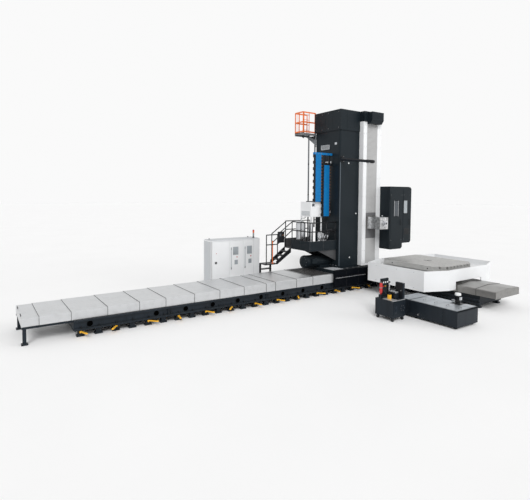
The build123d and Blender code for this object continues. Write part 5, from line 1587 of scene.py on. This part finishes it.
class MILL_OT_hydraulic(bpy.types.Operator):
    """Lid, panel, valves, gauge, castors and pressure vessel of the hydraulic unit"""
    bl_idname = "mill.hydraulic"
    bl_label = "Hydraulic unit"

    def execute(self, context):
        low, high = box("hydraulic_unit")
        return done(self.case(low, high), self.panel(high.y - 0.05), self.valves(),
                    self.vessel(), self.castors(low, high))

    @staticmethod
    def case(low, high):
        """Lid strips, cleaning flange, level glass, terminal box and panel posts."""
        unit = Piece("hydraulic_fittings", "foundation", "bed_blue", "casting", 0.002)
        top, lid = HYDRAULIC_TOP, HYDRAULIC_TOP + 0.012
        unit.block((low.x, low.y, top), (high.x, low.y + 0.03, lid), "cover")
        unit.block((low.x + 0.03, low.y + 0.06, top), (-3.99, -1.46, lid), "cover")
        unit.block((low.x + 0.03, low.y - 0.008, 0.16), (low.x + 0.06, low.y, top - 0.03))
        x, z, thick = low.x + 0.40, 0.36, 0.012
        unit.knob((x, low.y, z), NEAR, 0.09, thick, 0.07, 0.016, 28)
        unit.hexes(circle((x, low.y - thick, z), 1, 0.075, 6), NEAR, 0.008, 0.008, "bolt")
        unit.block((low.x + 0.10, low.y - 0.014, 0.24), (low.x + 0.13, low.y, 0.46), "screen")
        left = high.x - 0.07
        unit.block((left, low.y + 0.03, top), (high.x, low.y + 0.31, 1.06))
        unit.block((left - 0.004, low.y + 0.05, 0.66), (left, low.y + 0.29, 1.04), "black")
        unit.knob((left - 0.004, low.y + 0.10, 0.84), LEFT, 0.012, 0.012, 0.008, 0.016, 16,
                  "bright")
        for x in (PANEL_LEFT, -3.768):
            unit.block((x, high.y - 0.075, top), (x + 0.015, high.y - 0.050, 1.12), "black")
        return unit

    @staticmethod
    def panel(back):
        """Three gauges over three buttons, and a hose."""
        panel = Piece("hydraulic_panel", "foundation", "charcoal", "housing", 0.002)
        front = back - 0.008
        panel.block((PANEL_LEFT, front, 0.66), (-3.753, back, 1.11))
        for x, colour in ((-3.99, "red"), (-3.90, "lever"), (-3.81, "black")):
            panel.knob((x, front, 1.02), NEAR, 0.032, 0.022, 0.028, 0.026, 24, "black")
            panel.disc((x, front - 0.025, 1.02), NEAR, 0.027, 0.003, 24, "white")
            panel.knob((x, front, 0.90), NEAR, 0.014, 0.03, 0.010, 0.034, 16, colour)
        panel.pipe([(-3.99, front, 0.80), (-3.99, back - 0.06, 0.78), (-3.98, back - 0.12, 0.72),
                    (-3.95, back - 0.16, 0.64), (-3.95, back - 0.18, 0.60)], 0.009, 12, "hose")
        return panel

    @staticmethod
    def valves():
        """Four stacked valves with their magnets, a filler pipe and a small motor."""
        valves = Piece("valve_stack", "foundation", "chrome", "bolt", 0.002)
        for k in range(4):
            y = -1.69 + k * 0.06
            valves.block((-3.95, y, 0.76), (-3.81, y + 0.045, 0.80), "cover")
            valves.knob((-3.95, y + 0.022, 0.78), LEFT, 0.018, 0.07, 0.014, 0.075, 16, "black")
        x, y, top = -3.86, -1.40, 1.02
        valves.rod((x, y, HYDRAULIC_TOP), (x, y, top), 0.018, 16, "bright")
        valves.knob((x, y, top), UP, 0.03, 0.03, 0.02, 0.04, 16, "black")
        x, y, top = -4.06, -1.58, 0.72
        valves.block((x - 0.04, y - 0.04, 0.60), (x + 0.04, y + 0.04, top), "lever")
        valves.turned((x, y, top), UP, [(0.03, 0), (0.035, 0.01), (0.035, 0.03), (0.02, 0.035)],
                      20, "black")
        return valves

    @staticmethod
    def vessel():
        low, high = box("pressure_vessel")
        vessel = Piece("red_vessel", "foundation", "red", "red", 0, replaces=("pressure_vessel",))
        x, y, z = (low.x + high.x) / 2, (low.y + high.y) / 2, low.z
        radius, height = (high.x - low.x) / 2, high.z - low.z
        vessel.turned((x, y, z), UP, [(radius * 0.4, 0), (radius * 0.45, 0.03),
                                      (radius * 0.85, 0.05), (radius, 0.09),
                                      (radius, height - 0.09), (radius * 0.85, height - 0.05),
                                      (radius * 0.4, height - 0.035)], 28)
        vessel.knob((x, y, z + height - 0.036), UP, 0.012, 0.03, 0.009, 0.034, 14, "bolt")
        vessel.band((x, y, z + height * 0.5), UP, radius, 0.003, 0.026, 28, "bolt")
        return vessel

    @staticmethod
    def castors(low, high):
        wheels = Piece("castor_wheels", "foundation", "rubber", "rubber", 0)
        inset, half = 0.06, 0.034
        for x in (low.x + inset, high.x - inset):
            for y in (low.y + inset, high.y - inset):
                wheels.band((x - half, y, 0.04), RIGHT, 0.030, 0.008, 2 * half, 24, soft=0.004)
        return wheels


class MILL_OT_cabinet(bpy.types.Operator):
    """Screens, locks and panels of the cabinet doors, its roof, side and signal lamp"""
    bl_idname = "mill.cabinet"
    bl_label = "Electrical cabinet"

    def execute(self, context):
        for door in CABINET_DOORS:
            low, high = box(door)
            panel = Piece(f"{door}_panel", door, "white_paint", "white", 0.003)
            panel.block((low.x + 0.030, low.y - DOOR_PANEL, low.z + 0.03),
                        (high.x - 0.02, low.y, high.z - 0.03))
            fittings = Piece(f"{door}_fittings", door, "black_paint", "black", 0.002)
            skin = low.y - DOOR_PANEL
            if door == CABINET_DOORS[0]:
                self.main_switch(fittings, skin)
            elif door == CABINET_DOORS[1]:
                self.display(fittings, low.x, skin, 0.135, 0.225)
            else:
                self.display(fittings, low.x, skin, 0.145, 0.215)
            done(panel, fittings)
        return done(self.roof(), self.signal_lamp())

    @staticmethod
    def main_switch(door, skin):
        """The main switch with its knob, and a red button above it."""
        x, z, half = -6.615, 1.055, 0.04
        door.block((x - half, skin - 0.010, z - half), (x + half, skin, z + half))
        door.knob((x, skin - 0.010, z), NEAR, 0.022, 0.010, 0.016, 0.014, finish="bolt")
        door.knob((-6.60, skin, 1.40), NEAR, 0.014, 0.010, 0.010, 0.013, 16, "red")

    @staticmethod
    def display(door, edge, skin, inset, wide):
        """Two framed panes with a red button between them, and the upright lock bar."""
        x = edge + inset
        for left, right, foot, top in ((x, x + wide, 1.308, 1.602),
                                       (x + 0.07, x + 0.20, 0.94, 1.10)):
            door.block((left - 0.010, skin - 0.006, foot - 0.010),
                       (right + 0.010, skin, top + 0.010), "grey")
            door.block((left, skin - 0.009, foot), (right, skin - 0.005, top), "pane")
        door.knob((x + 0.17, skin, 1.215), NEAR, 0.022, 0.010, 0.016, 0.016, finish="red")
        x = edge + 0.034
        door.block((x, skin - 0.008, 0.82), (x + 0.045, skin, 1.60), "grey")
        door.block((x + 0.004, skin - 0.018, 0.76), (x + 0.041, skin, 0.83), "bolt")
        door.block((x + 0.010, skin - 0.012, 1.50), (x + 0.035, skin - 0.007, 1.58), "bolt")

    @staticmethod
    def roof():
        """The roof plate with two glands, and a plate on the left side."""
        low, high = box("electrical_cabinet")
        roof = Piece("cabinet_roof", "foundation", "white_paint", "grey", 0.004)
        face, z = box(CABINET_DOORS[0])[0].y, 1.876
        roof.block((low.x + 0.02, face + 0.03, z), (high.x - 0.02, high.y - 0.02, z + 0.02))
        roof.block((low.x - 0.004, low.y + 0.06, 0.15), (low.x, high.y - 0.03, 1.84))
        for x in (low.x + 0.15, high.x - 0.25):
            roof.turned((x, high.y - 0.15, z + 0.018), UP, [(0.02, 0), (0.028, 0.01),
                                                            (0.028, 0.03), (0.02, 0.034)], 18,
                        "bolt")
        return roof

    @staticmethod
    def signal_lamp():
        """A foot and two lenses, orange below red."""
        lamp = Piece("signal_lamp", "foundation", "orange", "lamp", 0)
        x, y = -4.883, 4.459
        lamp.turned((x, y, 1.896), UP, [(0.045, 0), (0.045, 0.012), (0.034, 0.02),
                                        (0.034, 0.05)], 28, "black")
        for z, tip, top, lens in ((2.10, 0.033, 0.052, "lamp"), (2.155, 0.026, 0.058, "red")):
            lamp.turned((x, y, z), UP, [(0.033, 0), (0.036, 0.004), (0.036, 0.048), (tip, top)],
                        28, lens)
        return lamp


class MILL_OT_stage(bpy.types.Operator):
    """Pale floor, soft light and the camera at the photograph's place"""
    bl_idname = "mill.stage"
    bl_label = "Stage"

    def execute(self, context):
        self.floor(context.scene)
        self.sky(context.scene)
        self.lamps(context.scene)
        self.camera(context.scene)
        context.scene.view_settings.view_transform = "Standard"
        return {"FINISHED"}

    @staticmethod
    def floor(scene):
        data = bpy.data.meshes.new("floor")
        reach = 160.0
        data.from_pydata([(-reach, -reach, 0), (reach, -reach, 0), (reach, reach, 0),
                          (-reach, reach, 0)], [], [(0, 1, 2, 3)])
        floor = bpy.data.objects.new("floor", data)
        scene.collection.objects.link(floor)
        finish = Finish("studio floor", (0.97, 0.97, 0.97), 0.7)
        finish.feed("Base Color", finish.mix(finish.noise(0.4, 3.0), finish.shade(0.97),
                                             finish.shade(1.02)))
        data.materials.append(finish.material)

    @staticmethod
    def sky(scene):
        """A white surround: dimmer as light than as what the camera and gloss see."""
        light, backdrop = 0.55, 0.955  # the backdrop is as bright as the far floor
        scene.world = bpy.data.worlds.new("studio")
        sky = Shading(scene.world, "Background")
        seen = sum(sky.node("ShaderNodeLightPath", output=ray)
                   for ray in ("Is Camera Ray", "Is Glossy Ray", "Is Transmission Ray"))
        sky.feed("Strength", light + (backdrop - light) * seen)
        sky.shader.inputs["Color"].default_value = (1.0, 1.0, 1.0, 1.0)

    @staticmethod
    def lamps(scene):
        for name, spot, aim, energy, spread in (("key", (-14, -16, 17), (-3, 1, 2), 1.9, 25),
                                                ("fill", (14, -14, 9), (-1, 1, 2), 0.7, 40)):
            lamp = bpy.data.lights.new(name, "SUN")
            lamp.energy = energy
            lamp.angle = math.radians(spread)
            light = bpy.data.objects.new(name, lamp)
            light.location = spot
            light.visible_glossy = False  # no glare on the pale sheets seen from behind
            aim = Vector(aim) - Vector(spot)
            light.rotation_euler = aim.to_track_quat("-Z", "Y").to_euler()
            scene.collection.objects.link(light)

    @staticmethod
    def camera(scene):
        """The photograph's camera: its place, its turns and its lens, fitted to the photo."""
        place = (-14.006, -9.691, 3.6)
        yaw, pitch, roll = math.radians(55.65), math.radians(2.76), math.radians(0.387)
        width, middle, level, focus = 530, 250, 215.2, 427.8  # in the photo's pixels
        forward = Vector((math.cos(yaw) * math.cos(pitch), math.sin(yaw) * math.cos(pitch),
                          -math.sin(pitch)))
        across = Vector((math.sin(yaw), -math.cos(yaw), 0))
        upright = across.cross(forward)
        right = math.cos(roll) * across + math.sin(roll) * upright
        up = -math.sin(roll) * across + math.cos(roll) * upright
        lens = bpy.data.cameras.new("camera")
        lens.lens = focus * lens.sensor_width / width
        lens.shift_y = -(middle - level) / width
        lens.clip_end = 500
        camera = bpy.data.objects.new("camera", lens)
        turn = Matrix((right, up, -forward)).transposed().to_4x4()
        camera.matrix_world = Matrix.Translation(place) @ turn
        scene.collection.objects.link(camera)
        scene.camera = camera


ORDER = (MILL_OT_finishes, MILL_OT_bed_fittings, MILL_OT_cover_lips, MILL_OT_saddle,
         MILL_OT_column, MILL_OT_front, MILL_OT_head, MILL_OT_railing, MILL_OT_platform,
         MILL_OT_chains, MILL_OT_ladder, MILL_OT_boom, MILL_OT_magazine, MILL_OT_table,
         MILL_OT_coolant, MILL_OT_hydraulic, MILL_OT_cabinet, MILL_OT_stage)


class MILL_PT_panel(bpy.types.Panel):
    """The mill's operators, colours and sizes"""
    bl_idname = "MILL_PT_panel"
    bl_label = "Boring mill"
    bl_space_type = "VIEW_3D"
    bl_region_type = "UI"
    bl_category = "Boring mill"

    def draw(self, context):
        layout = self.layout
        for group in (context.scene.mill_colours, context.scene.mill_sizes):
            for name in group.__annotations__:
                layout.prop(group, name)
        for operator in ORDER:
            layout.operator(operator.bl_idname)


CLASSES = (MillColours, MillSizes, *ORDER, MILL_PT_panel)


def register():
    for item in CLASSES:
        bpy.utils.register_class(item)
    bpy.types.Scene.mill_colours = PointerProperty(type=MillColours)
    bpy.types.Scene.mill_sizes = PointerProperty(type=MillSizes)


def unregister():
    del bpy.types.Scene.mill_sizes
    del bpy.types.Scene.mill_colours
    for item in reversed(CLASSES):
        bpy.utils.unregister_class(item)


def main():
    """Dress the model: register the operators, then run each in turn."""
    register()
    for operator in ORDER:
        group, name = operator.bl_idname.split(".")
        getattr(getattr(bpy.ops, group), name)()


if __name__ == "__main__":
    main()
